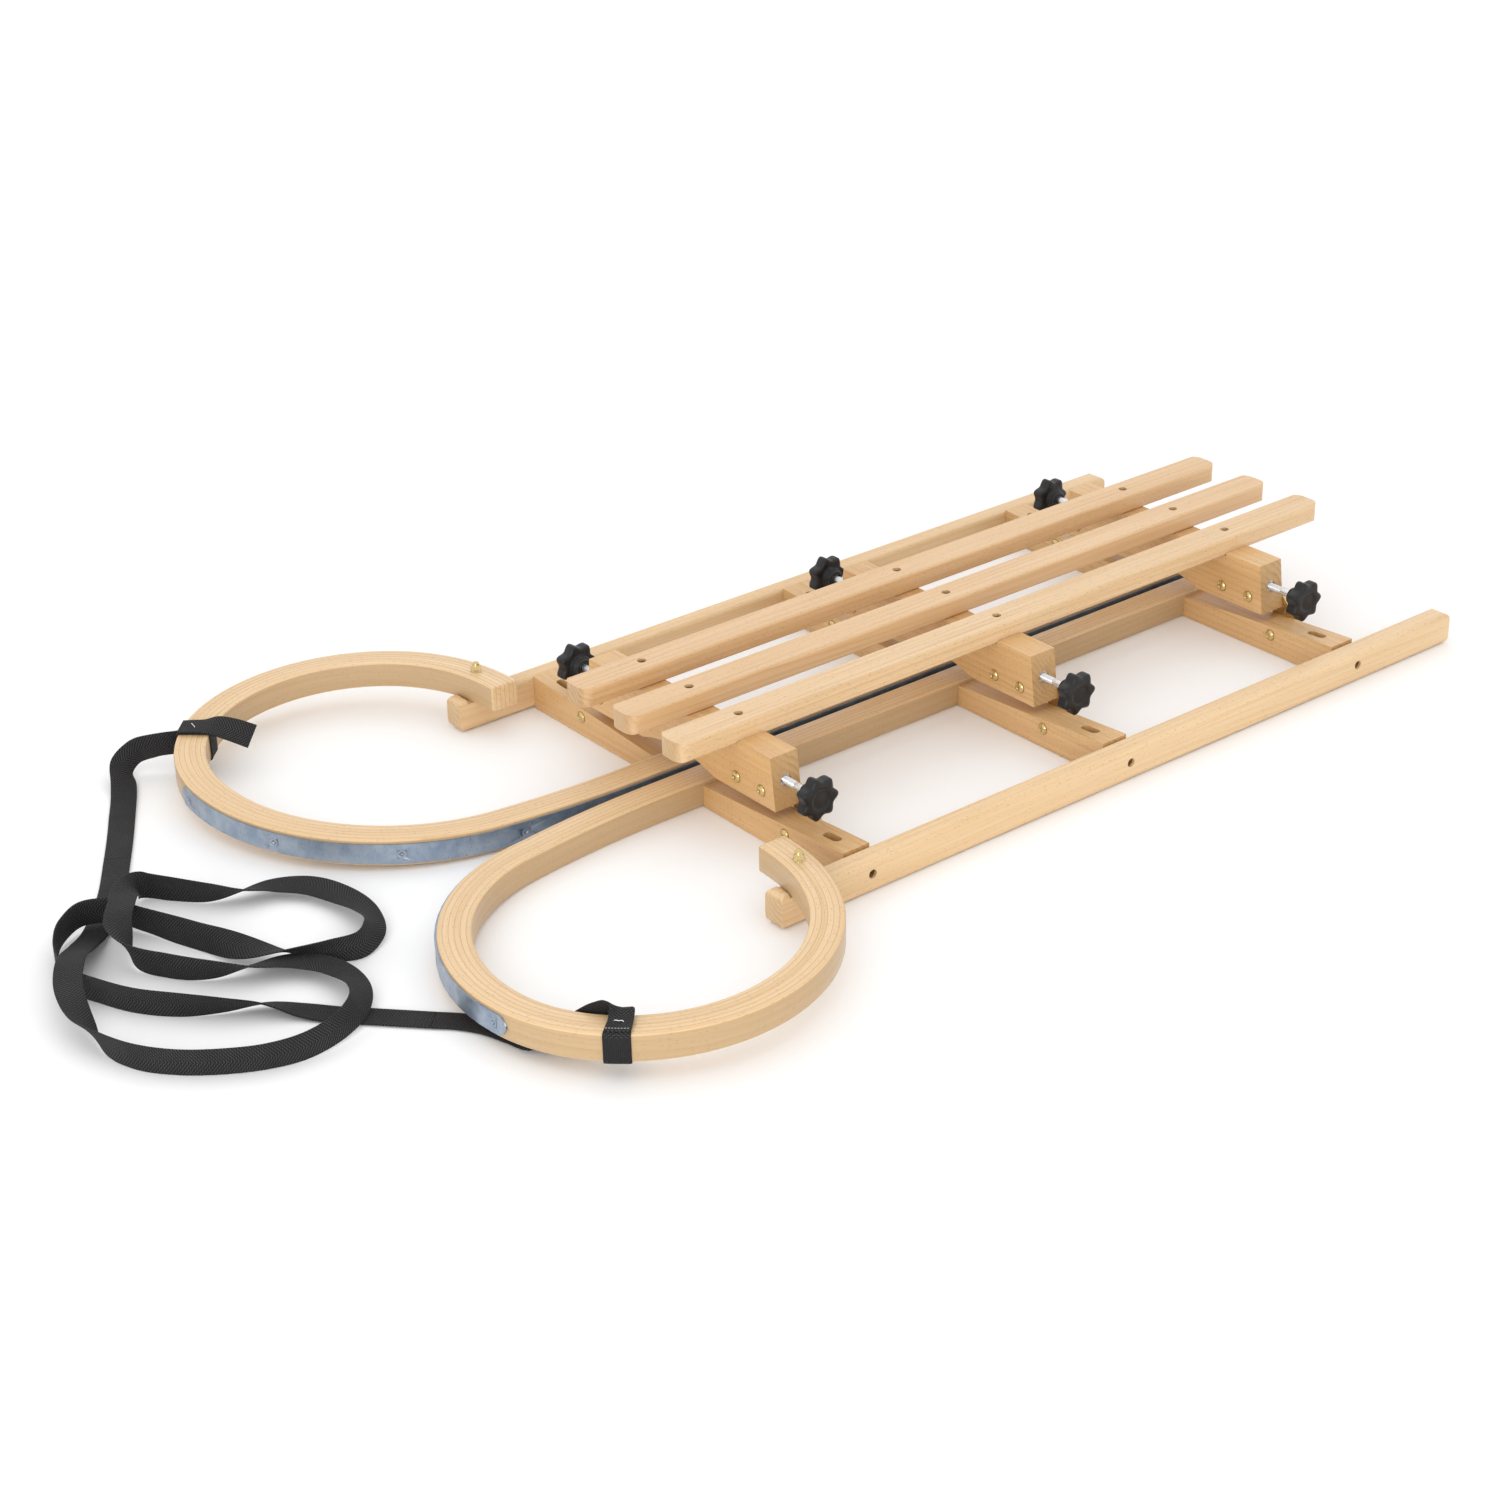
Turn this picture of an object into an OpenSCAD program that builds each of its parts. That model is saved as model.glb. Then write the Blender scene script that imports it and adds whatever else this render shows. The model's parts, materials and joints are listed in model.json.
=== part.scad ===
// Folding horn sledge, folded flat: two side frames lie on the ground with their
// runners together at the middle, and the seat stands over them on its hinge plates.

/* [Seat] */
// Distance between neighbouring crossbeams, centre to centre
beam_pitch = 328; // [280:1:380]
// Distance between neighbouring slats, centre to centre
slat_pitch = 75; // [60:1:80]
// Width of a slat
slat_w = 36; // [26:1:40]
// Thickness of a slat
slat_t = 20; // [15:1:26]
// Slat ahead of the front crossbeam's middle
slat_front = 82; // [60:1:110]
// Slat behind the rear crossbeam's middle
slat_rear = 130; // [90:1:150]
// Plan radius of a slat's corners
slat_corner_r = 12; // [6:1:12]
// Rounding along a slat's edges
slat_edge_r = 3; // [1:0.5:4]
// Height of the slats' top faces above the ground
seat_height = 109; // [104:1:120]

/* [Crossbeams] */
// Thickness of a crossbeam along the sledge
beam_w = 32; // [28:1:40]
// Half the length of a crossbeam, measured at its top edge
beam_half = 141; // [132:1:160]
// Lean of a crossbeam's end face, which sets how far the legs splay
beam_lean = 7; // [4:0.5:9]
// Height of a crossbeam's underside above the ground, at its ends
beam_bottom = 39; // [38:0.5:44]
// How far the end blocks stand above the slats' seat
beam_step = 3; // [1:0.5:6]
// Half the width of the arch under a crossbeam
arch_half = 56; // [40:1:60]
// Rise of the arch
arch_rise = 10; // [4:0.5:14]

/* [Posts] */
// Height of a post where it meets the side rail
post_outer_h = 36; // [32:0.5:40]
// Height of a post where it meets the runner
post_inner_h = 22.5; // [18:0.5:26]
// Length of the slot that takes the knob's stud
slot_l = 22; // [16:1:28]
// Width of that slot
slot_w = 9.5; // [9:0.5:12]
// Distance of the slot's middle from the pivot bolt
slot_out = 49.5; // [46:0.5:52]

/* [Side frames] */
// Half the gap between the two runners
runner_gap_half = 6.5; // [4:0.5:12]
// Width of a runner, seen from above
runner_w = 31; // [26:1:36]
// Height of a runner
runner_h = 27; // [24:1:32]
// Runner behind the rear crossbeam's middle
runner_rear = 88; // [60:1:120]
// Distance from the middle of the sledge to the side rail's inner face
rail_inner = 243; // [236:1:270]
// Thickness of a side rail
rail_w = 23; // [20:1:28]
// Height of a side rail
rail_h = 34; // [32:1:40]
// Side rail ahead of the front crossbeam's middle
rail_front = 106; // [100:1:140]
// Side rail behind the rear crossbeam's middle
rail_rear = 144; // [100:1:200]
// Rounding along a side rail's edges
rail_edge_r = 5; // [2:0.5:7]

/* [Horns] */
// Where the bend starts, ahead of the front crossbeam's middle
bend_start = 60; // [40:1:80]
// Radius of the first, slow bend
bend_1_r = 1000; // [800:10:1200]
// Turn of the first bend
bend_1_a = 9; // [8:0.5:10]
// Radius of the second bend
bend_2_r = 204; // [196:1:212]
// Turn of the second bend
bend_2_a = 86; // [84:0.5:88]
// Radius of the third bend, round the outside of the horn
bend_3_r = 155; // [150:1:160]
// Turn of the third bend
bend_3_a = 150; // [148:0.5:152]
// Radius of the last bend, towards the tip
bend_4_r = 225; // [215:1:235]
// How far the horn's tip rises, so that it laps over the side rail
horn_rise = 30; // [28:0.5:32]
// Chamfer along the runner's edges
runner_edge = 2; // [1:0.5:3]

/* [Steel strips] */
// Width of the steel strip
strip_h = 20; // [16:1:22]
// Thickness of the steel strip
strip_t = 2; // [1.5:0.5:3]
// Number of screws in each strip
strip_screw_count = 12; // [8:1:12]

/* [Hinges and knobs] */
// Nominal bolt size, the shank's diameter
bolt_d = 8; // [6:1:8]
// Thickness of a hinge plate
plate_t = 3; // [2:0.5:4]
// Distance of the inner beam bolt from the middle of the sledge
beam_bolt_inner = 90; // [84:1:96]
// Distance of the outer beam bolt from the middle of the sledge
beam_bolt_outer = 127; // [120:1:130]
// Height of the beam bolts above the ground
beam_bolt_z = 53.5; // [51:0.5:58]
// Height of the hinge's pivot bolt above the ground
pivot_z = 20.5; // [19:0.5:22]
// Height of the knobs' studs above the ground
stud_z = 66; // [64:0.5:70]
// Diameter of a star knob
knob_d = 44; // [36:1:45]
// Stud that shows between the crossbeam and the knob
stud_free = 28; // [24:1:32]
// Stud inside the crossbeam's threaded insert
stud_grip = 20; // [14:1:24]

/* [Pull strap] */
// Width of the webbing
strap_w = 25; // [20:1:30]
// Thickness of the webbing
strap_t = 2; // [1.5:0.5:3]

/* [Hidden] */
$fn = 48;
SIDES = ["left", "right"];
ROWS = ["front", "middle", "rear"];

// Colours
beech = [0.87, 0.70, 0.47];
pale_beech = [0.91, 0.78, 0.57];
warm_beech = [0.82, 0.62, 0.38];
galvanised = [0.50, 0.54, 0.58];
yellow_zinc = [0.78, 0.68, 0.38];
zinc = [0.80, 0.81, 0.82];
black = [0.07, 0.07, 0.08];

// Clearances and small shared sizes
touch = 0.3;            // between faces of pieces that move past each other
bore_gap = 0.05;        // round a bolt, on the radius
eps = 0.01;             // overlap of a cutting shape past a face
bolt_r = bolt_d / 2;
bolt_bore_r = bolt_r + bore_gap;
dome_r = bolt_r * 1.55;
dome_h = bolt_r * 0.85;
horn_bolt_r = bolt_r * 0.66;
horn_bore_r = horn_bolt_r + bore_gap;
nut_r = bolt_r * 1.8;
nut_h = bolt_d * 0.7;
screw_r = 2.5;          // shank of a wood screw
screw_head_r = 4.5;
screw_head_h = 3.5;
screw_well = 3;         // how deep a wood screw's head lies below the face
screw_bite = 25;        // how far a wood screw reaches into the far piece
rail_bite = 16;         // the same for a side rail's screw, which stops short of the slot

// The seat's heights
slat_z = seat_height - slat_t;
beam_top = slat_z + beam_step;
slat_nest = slat_pitch + slat_w / 2 + touch;   // half the width of the slats' seat
function beam_end_x(z) = beam_half + (beam_top - z) * tan(beam_lean);

// The posts and the pivot. Open, a post lies along the crossbeam's end face.
runner_outer = runner_gap_half + runner_w;
post_w = beam_w - 2 * touch;
post_taper = atan((post_outer_h - post_inner_h) / (rail_inner - runner_outer));
pivot_seat = (post_inner_h - pivot_z) * cos(post_taper);
// Distance of the pivot outside the end face, so that the opened post just meets it
pivot_x = (beam_end_x(pivot_z) * cos(beam_lean) + touch + pivot_seat
          - runner_outer * sin(post_taper)) / (cos(beam_lean) - sin(post_taper));
slot_x = pivot_x + slot_out;
plate_y = beam_w / 2;

// The side rail and the horn's lap
rail_mid = rail_inner + rail_w / 2;
rail_screw_z = rail_h * 0.56;

// The horn's path: centreline of the runner, from its rear end to the tip
BENDS = [[bend_1_r, bend_1_a], [bend_2_r, bend_2_a], [bend_3_r, bend_3_a],
         [bend_4_r, 270 - bend_1_a - bend_2_a - bend_3_a]];
bend_step = 5;          // turn between two rings of the bent bar
// Turn, and centre of each bend, when it starts at point p with heading h
function arc_len(b) = b[0] * b[1] * PI / 180;
function arc_centre(p, h, b) = p + b[0] * [cos(h), sin(h)];
function arc_point(p, h, b, a) = arc_centre(p, h, b) - b[0] * [cos(h + a), sin(h + a)];
// Place and heading at distance s along the bends: [x, y, heading]
function along(s, i = 0, p = [runner_gap_half + runner_w / 2, -bend_start], h = 0) =
    s <= 0 ? [p[0], p[1] - s, h] :
    s <= arc_len(BENDS[i]) || i == len(BENDS) - 1
        ? let (a = s / BENDS[i][0] * 180 / PI, q = arc_point(p, h, BENDS[i], a)) [q[0], q[1], h + a]
        : along(s - arc_len(BENDS[i]), i + 1, arc_point(p, h, BENDS[i], BENDS[i][1]), h + BENDS[i][1]);
bend_len = arc_len(BENDS[0]) + arc_len(BENDS[1]) + arc_len(BENDS[2]) + arc_len(BENDS[3]);
rise_start = 150;       // distance along the bends where the horn leaves the ground
rise_end = bend_len - 70;
function lift(s) = horn_rise * min(1, max(0, (s - rise_start) / (rise_end - rise_start)));
runner_back = -(2 * beam_pitch + runner_rear + bend_start);
// Distances of the rings: the straight part, then even steps of turn in each bend
function bend_base(i) = i == 0 ? 0 : bend_base(i - 1) + arc_len(BENDS[i - 1]);
RINGS = concat([0], [for (i = [0:3], n = ceil(BENDS[i][1] / bend_step), k = [1:n])
                     bend_base(i) + arc_len(BENDS[i]) * k / n]);
// A point beside the path: off outwards from the centreline, z above the runner's underside
function beside(s, off, z) = let (p = along(s))
    [p[0] - off * cos(p[2]), p[1] - off * sin(p[2]), z + lift(s)];

// The strip ends on the front of the horn
strip_front = bend_base(2) + 15;
strip_back = runner_back + 6;
strip_margin = 14;
strip_off = runner_w / 2 + strip_t / 2;
function strip_screw_s(k) = strip_back + strip_margin
    + (strip_front - strip_back - 2 * strip_margin) * k / (strip_screw_count - 1);

// The horn bolt goes down through the tip and the rail
tip = along(bend_len);
lap_s = bend_len - (rail_mid - tip[0]);
lap = along(lap_s);
notch_r = runner_w / 2 + 4;

// Where the strap is stapled on: distances along the bends, and the end of the pull strap
strap_s = bend_base(2) + arc_len(BENDS[2]) * 0.265;

// The row's origin lies at the middle of the box, on the ground
horn_front = min([for (s = RINGS) beside(s, runner_w / 2 + strip_t, 0)[1]]);
origin_y = (horn_front + 2 * beam_pitch + rail_rear) / 2;

// ---- Helpers -------------------------------------------------------------

// A piece in the row's frame
module placed() { translate([0, -origin_y, 0]) children(); }

// The right side as drawn, or its mirror image for the left
module on_side(s) { mirror([s == "left" ? 1 : 0, 0, 0]) children(); }

module rounded_rect(w, l, r) {
    for (x = [-1, 1], y = [-1, 1])
        translate([x * (w / 2 - r), y * (l / 2 - r)]) circle(r);
    square([w - 2 * r, l], center = true);
    square([w, l - 2 * r], center = true);
}

// A cylinder along +Y from y0 to y1
module rod_y(r, y0, y1) { translate([0, y0, 0]) rotate([-90, 0, 0]) cylinder(r = r, h = y1 - y0); }

// A cylinder along +X from x0 to x1
module rod_x(r, x0, x1) { translate([x0, 0, 0]) rotate([0, 90, 0]) cylinder(r = r, h = x1 - x0); }

// A shallow domed head on the XY plane, rising along +Z
module dome(r, h) {
    ball = (r * r + h * h) / (2 * h);
    intersection() {
        translate([0, 0, h - ball]) sphere(ball);
        cylinder(r = r + 1, h = h + 1);
    }
}

module hex_nut(h) {
    difference() {
        cylinder(r = nut_r, h = h, $fn = 6);
        translate([0, 0, -1]) cylinder(r = bolt_bore_r, h = h + 2);
    }
}

// A wood screw along -Z, its head's top at z = 0
module wood_screw(l) {
    difference() {
        union() {
            translate([0, 0, -screw_head_h])
                cylinder(r1 = screw_r, r2 = screw_head_r, h = screw_head_h);
            translate([0, 0, -l]) cylinder(r = screw_r, h = l - screw_head_h + eps);
        }
        translate([0, 0, -1.2]) linear_extrude(3)
            for (a = [0, 90]) rotate(a) square([1, 5], center = true);
    }
}

// The space that such a screw needs, open upwards
module wood_screw_hole(l) {
    translate([0, 0, -screw_head_h - bore_gap])
        cylinder(r1 = screw_r + bore_gap, r2 = screw_head_r + bore_gap, h = screw_head_h + bore_gap);
    translate([0, 0, -eps]) cylinder(r = screw_head_r + bore_gap, h = 60);
    translate([0, 0, -l - bore_gap]) cylinder(r = screw_r + bore_gap, h = l);
}

// A bar along the runner's path between distances s0 and s1. SECTION lists [off, z] pairs,
// anticlockwise as seen when looking along the path.
module path_bar(S, section) {
    n = len(section);
    points = [for (s = S, c = section) beside(s, c[0], c[1])];
    sides = [for (i = [0:len(S) - 2], j = [0:n - 1])
             [i * n + j, i * n + (j + 1) % n, (i + 1) * n + (j + 1) % n, (i + 1) * n + j]];
    ends = [[for (j = [n - 1:-1:0]) j], [for (j = [0:n - 1]) (len(S) - 1) * n + j]];
    polyhedron(points, concat(sides, ends), convexity = 8);
}

// A rectangle with chamfered corners as [off, z] pairs
function chamfered(off0, off1, z0, z1, c) = [
    [off0 + c, z0], [off1 - c, z0], [off1, z0 + c], [off1, z1 - c],
    [off1 - c, z1], [off0 + c, z1], [off0, z1 - c], [off0, z0 + c]];

// Children drawn at distance s, +Z pointing out of the runner's sole and +X along the path
module on_sole(s, off) {
    p = beside(s, off, runner_h / 2);
    translate(p) rotate([0, 0, along(s)[2] + 180]) rotate([0, 90, 0]) rotate([0, 0, 90]) children();
}

// ---- Seat ------------------------------------------------------------------

module slat(x) {
    l = 2 * beam_pitch + slat_front + slat_rear;
    color(beech) placed() translate([x, beam_pitch + (slat_rear - slat_front) / 2, slat_z])
        difference() {
            intersection() {
                linear_extrude(slat_t) rounded_rect(slat_w, l, slat_corner_r);
                translate([0, l / 2 + 1, slat_t / 2]) rotate([90, 0, 0])
                    linear_extrude(l + 2) rounded_rect(slat_w, slat_t, slat_edge_r);
            }
            for (k = [-1:1])
                translate([0, k * beam_pitch - (slat_rear - slat_front) / 2, slat_t - screw_well])
                    wood_screw_hole(screw_well + slat_t + screw_bite);
        }
}

module seat_screws() {
    color(zinc) placed() for (x = [-1:1], k = [0:2])
        translate([x * slat_pitch, k * beam_pitch, seat_height - screw_well]) wood_screw(slat_t + screw_bite);
}

module beam_outline() {
    arch_r = (arch_half * arch_half + arch_rise * arch_rise) / (2 * arch_rise);
    difference() {
        polygon([[-beam_end_x(beam_bottom), beam_bottom], [beam_end_x(beam_bottom), beam_bottom],
                 [beam_half, beam_top], [slat_nest, beam_top], [slat_nest, slat_z],
                 [-slat_nest, slat_z], [-slat_nest, beam_top], [-beam_half, beam_top]]);
        translate([0, beam_bottom + arch_rise - arch_r]) circle(arch_r, $fn = 180);
    }
}

module crossbeam(k) {
    color(warm_beech) placed() translate([0, k * beam_pitch, 0]) difference() {
        rotate([90, 0, 0]) translate([0, 0, -beam_w / 2]) linear_extrude(beam_w) beam_outline();
        for (s = [-1, 1]) {
            for (x = [beam_bolt_inner, beam_bolt_outer])
                translate([s * x, 0, beam_bolt_z]) rod_y(bolt_bore_r, -beam_w, beam_w);
            scale([s, 1, 1]) translate([0, 0, stud_z]) insert_hole();
        }
        for (x = [-1:1]) translate([x * slat_pitch, 0, seat_height - screw_well])
            wood_screw_hole(slat_t + screw_bite);
    }
}

// The threaded insert lies 1 mm inside the end face
insert_r = bolt_r + 2.5;
insert_face = beam_end_x(stud_z + insert_r) - 1;
insert_l = stud_grip - 1;
module insert_hole() {
    rod_x(insert_r, insert_face - insert_l, beam_half + 30);
    rod_x(bolt_r + 0.5, insert_face - stud_grip - 4, beam_half + 30);
}

module knob_inserts() {
    color(zinc) placed() for (k = [0:2], s = [-1, 1])
        translate([0, k * beam_pitch, stud_z]) scale([s, 1, 1]) difference() {
            rod_x(insert_r, insert_face - insert_l, insert_face);
            rod_x(bolt_bore_r, insert_face - insert_l - 1, insert_face + 1);
        }
}

// ---- Hinges ------------------------------------------------------------------

// The plate's outline in the XZ plane
module plate_outline() {
    hull() {
        translate([beam_bolt_inner, beam_bolt_z]) circle(11);
        translate([beam_bolt_outer, beam_bolt_z]) circle(13);
    }
    hull() {
        translate([beam_bolt_outer, beam_bolt_z]) circle(13);
        translate([pivot_x, pivot_z]) circle(12);
    }
}

module hinge_plate(k, s) {
    color(yellow_zinc) placed() on_side(s) translate([0, k * beam_pitch + plate_y, 0]) difference() {
        translate([0, plate_t, 0]) rotate([90, 0, 0]) linear_extrude(plate_t) plate_outline();
        for (x = [beam_bolt_inner, beam_bolt_outer])
            translate([x, 0, beam_bolt_z]) rod_y(bolt_bore_r, -1, plate_t + 1);
        translate([pivot_x, 0, pivot_z]) rod_y(bolt_bore_r, -1, plate_t + 1);
    }
}

// A domed bolt along +Y: its head lies on the face at y0, and it ends at y1
module dome_bolt(y0, y1) {
    rod_y(bolt_r, y0 - eps, y1);
    translate([0, y0, 0]) rotate([90, 0, 0]) difference() {
        dome(dome_r, dome_h);
        translate([0, 0, dome_h - 1.2]) cylinder(r = bolt_r * 0.45, h = 3, $fn = 6);
    }
}

module beam_bolts() {
    color(yellow_zinc) placed() for (k = [0:2], s = [-1, 1], x = [beam_bolt_inner, beam_bolt_outer])
        translate([s * x, k * beam_pitch, beam_bolt_z])
            dome_bolt(-beam_w / 2, plate_y + plate_t + nut_h + 1);
}

module beam_nuts() {
    color(yellow_zinc) placed() for (k = [0:2], s = [-1, 1], x = [beam_bolt_inner, beam_bolt_outer])
        translate([s * x, k * beam_pitch + plate_y + plate_t, beam_bolt_z])
            rotate([-90, 0, 0]) hex_nut(nut_h);
}

module pivot_bolts(s) {
    color(yellow_zinc) placed() on_side(s) for (k = [0:2])
        translate([pivot_x, k * beam_pitch, pivot_z])
            dome_bolt(-post_w / 2, plate_y + plate_t + touch + nut_h + 1);
}

module pivot_nuts(s) {
    color(yellow_zinc) placed() on_side(s) for (k = [0:2])
        translate([pivot_x, k * beam_pitch + plate_y + plate_t + touch, pivot_z])
            rotate([-90, 0, 0]) hex_nut(nut_h);
}

// ---- Side frames ---------------------------------------------------------------

module post(k, s) {
    color(warm_beech) placed() on_side(s) translate([0, k * beam_pitch, 0]) difference() {
        rotate([90, 0, 0]) translate([0, 0, -post_w / 2]) linear_extrude(post_w)
            polygon([[runner_outer, 0], [rail_inner, 0], [rail_inner, post_outer_h],
                     [runner_outer, post_inner_h]]);
        translate([pivot_x, 0, pivot_z]) rod_y(bolt_bore_r, -post_w, post_w);
        for (x = [-1, 1]) translate([slot_x + x * (slot_l - slot_w) / 2, 0, -1])
            cylinder(r = slot_w / 2, h = post_outer_h + 2);
        translate([slot_x - (slot_l - slot_w) / 2, -slot_w / 2, -1])
            cube([slot_l - slot_w, slot_w, post_outer_h + 2]);
        rail_screw_at() wood_screw_hole(rail_w - screw_well + rail_bite);
        post_screw_at() wood_screw_hole(post_screw_l);
    }
}

// A rail screw's place, its +Z pointing outwards
module rail_screw_at() {
    translate([rail_inner + rail_w - screw_well, 0, rail_screw_z]) rotate([0, 90, 0]) children();
}

// A post screw goes through the runner from its sole, under the steel strip
post_screw_z = post_inner_h * 0.5;
post_screw_l = runner_w - 1 + screw_bite;
module post_screw_at() {
    translate([runner_gap_half + 1, 0, post_screw_z]) rotate([0, -90, 0]) children();
}

RUNNER_RINGS = concat([runner_back], RINGS);
module runner(s) {
    color(pale_beech) placed() on_side(s) difference() {
        path_bar(RUNNER_RINGS,
                 chamfered(-runner_w / 2, runner_w / 2, 0, runner_h, runner_edge));
        for (k = [0:strip_screw_count - 1]) on_sole(strip_screw_s(k), runner_w / 2 + strip_t)
            wood_screw_hole(strip_screw_l);
        for (k = [0:2]) translate([0, k * beam_pitch, 0])
            post_screw_at() wood_screw_hole(post_screw_l);
        translate([lap[0], lap[1], 0]) cylinder(r = horn_bore_r, h = 2 * runner_h + horn_rise);
    }
}

strip_screw_l = 22;
STRIP_RINGS = concat([strip_back], [for (s = RINGS) if (s < strip_front - 8) s],
                     [for (a = [60:-20:0]) strip_front - strip_h / 2 * sin(a)]);
// Half the strip's width at distance s, which rounds off its front end
function strip_half(s) = s < strip_front - strip_h / 2 ? strip_h / 2
    : sqrt(max(4, pow(strip_h / 2, 2) - pow(s - strip_front + strip_h / 2, 2)));
module steel_strip(s) {
    color(galvanised) placed() on_side(s) difference() {
        union() {
            points = [for (t = STRIP_RINGS, c = [[0, -1], [1, -1], [1, 1], [0, 1]])
                      beside(t, runner_w / 2 + c[0] * strip_t, runner_h / 2 + c[1] * strip_half(t))];
            polyhedron(points, concat(
                [for (i = [0:len(STRIP_RINGS) - 2], j = [0:3])
                 [i * 4 + j, i * 4 + (j + 1) % 4, i * 4 + 4 + (j + 1) % 4, i * 4 + 4 + j]],
                [[3, 2, 1, 0], [for (j = [0:3]) (len(STRIP_RINGS) - 1) * 4 + j]]), convexity = 8);
        }
        for (k = [0:strip_screw_count - 1]) on_sole(strip_screw_s(k), runner_w / 2 + strip_t)
            wood_screw_hole(strip_screw_l);
    }
}

module strip_screws(s) {
    color(galvanised) placed() on_side(s) for (k = [0:strip_screw_count - 1])
        on_sole(strip_screw_s(k), runner_w / 2 + strip_t) wood_screw(strip_screw_l);
}

module post_screws(s) {
    color(zinc) placed() on_side(s) for (k = [0:2]) translate([0, k * beam_pitch, 0])
        post_screw_at() wood_screw(post_screw_l);
}

module side_rail(s) {
    l = rail_front + 2 * beam_pitch + rail_rear;
    color(pale_beech) placed() on_side(s) difference() {
        intersection() {
            translate([rail_mid, l - rail_front, rail_h / 2]) rotate([90, 0, 0])
                linear_extrude(l) rounded_rect(rail_w, rail_h, rail_edge_r);
            translate([rail_mid, l / 2 - rail_front, rail_h / 2]) rotate([0, 90, 0])
                linear_extrude(rail_w + 2, center = true) rounded_rect(rail_h, l, 8);
        }
        for (k = [0:2]) translate([0, k * beam_pitch, 0])
            rail_screw_at() wood_screw_hole(rail_w - screw_well + rail_bite);
        // The notch that the horn's tip lies in
        translate([rail_inner - 1, lap[1] - notch_r, horn_rise]) cube([rail_w + 2, 2 * notch_r, rail_h]);
        // A wider seat makes the horn cross askew, so the notch takes in its own path as well
        path_bar([for (t = RINGS) if (t > lap_s - 70) t],
                 chamfered(-runner_w / 2 - touch, runner_w / 2 + touch, 0, rail_h, 0.1));
        translate([lap[0], lap[1], -1]) cylinder(r = horn_bore_r, h = rail_h + 2);
        translate([lap[0], lap[1], -1]) cylinder(r = dome_r + 1, h = dome_h + 3);
    }
}

module rail_screws(s) {
    color(zinc) placed() on_side(s) for (k = [0:2]) translate([0, k * beam_pitch, 0])
        rail_screw_at() wood_screw(rail_w - screw_well + rail_bite);
}

washer_t = 1;
cap_nut_h = 7;
horn_top = horn_rise + runner_h;
module horn_bolt(s) {
    color(yellow_zinc) placed() on_side(s) translate([lap[0], lap[1], 0]) {
        translate([0, 0, dome_h + 2]) {
            cylinder(r = horn_bolt_r, h = horn_top + washer_t + cap_nut_h - dome_h - 5);
            rotate([180, 0, 0]) dome(dome_r, dome_h);
        }
        translate([0, 0, horn_top]) difference() {
            union() {
                cylinder(r = horn_bolt_r * 2.1, h = washer_t);
                translate([0, 0, washer_t])
                    cylinder(r = horn_bolt_r * 1.85, h = cap_nut_h * 0.55, $fn = 6);
                translate([0, 0, washer_t]) cylinder(r = horn_bolt_r * 1.35, h = cap_nut_h);
                translate([0, 0, washer_t + cap_nut_h]) dome(horn_bolt_r * 1.35, horn_bolt_r);
            }
            translate([0, 0, -1]) cylinder(r = horn_bore_r, h = washer_t + cap_nut_h);
        }
    }
}

// ---- Star knobs -------------------------------------------------------------------

stud_face = beam_end_x(stud_z);
knob_x = stud_face + stud_free;
hub_h = 9;
head_h = 14;
lobes = 7;
lobe_r = knob_d * 0.13;

module at_stud(k, s) {
    placed() on_side(s) translate([0, k * beam_pitch, stud_z]) children();
}

module knob_stud(k, s) {
    color(zinc) at_stud(k, s) rod_x(bolt_r, stud_face - stud_grip, knob_x + hub_h);
}

module star_knob(k, s) {
    color(black) at_stud(k, s) difference() {
        translate([knob_x, 0, 0]) rotate([0, 90, 0]) {
            cylinder(r = knob_d * 0.2, h = 3);
            cylinder(r = knob_d * 0.25, h = hub_h + 1);
            translate([0, 0, hub_h]) difference() {
                union() {
                    cylinder(r = knob_d / 2 - lobe_r, h = head_h);
                    for (i = [0:lobes - 1]) rotate(i * 360 / lobes)
                        translate([knob_d / 2 - lobe_r, 0, 0]) cylinder(r = lobe_r, h = head_h);
                }
                for (i = [0:lobes - 1]) rotate((i + 0.5) * 360 / lobes)
                    translate([knob_d / 2 + 0.5, 0, -1]) cylinder(r = lobe_r * 0.9, h = head_h + 2);
            }
        }
        rod_x(bolt_bore_r, knob_x - 1, knob_x + hub_h + bore_gap);
    }
}

// ---- Pull strap --------------------------------------------------------------------

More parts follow.
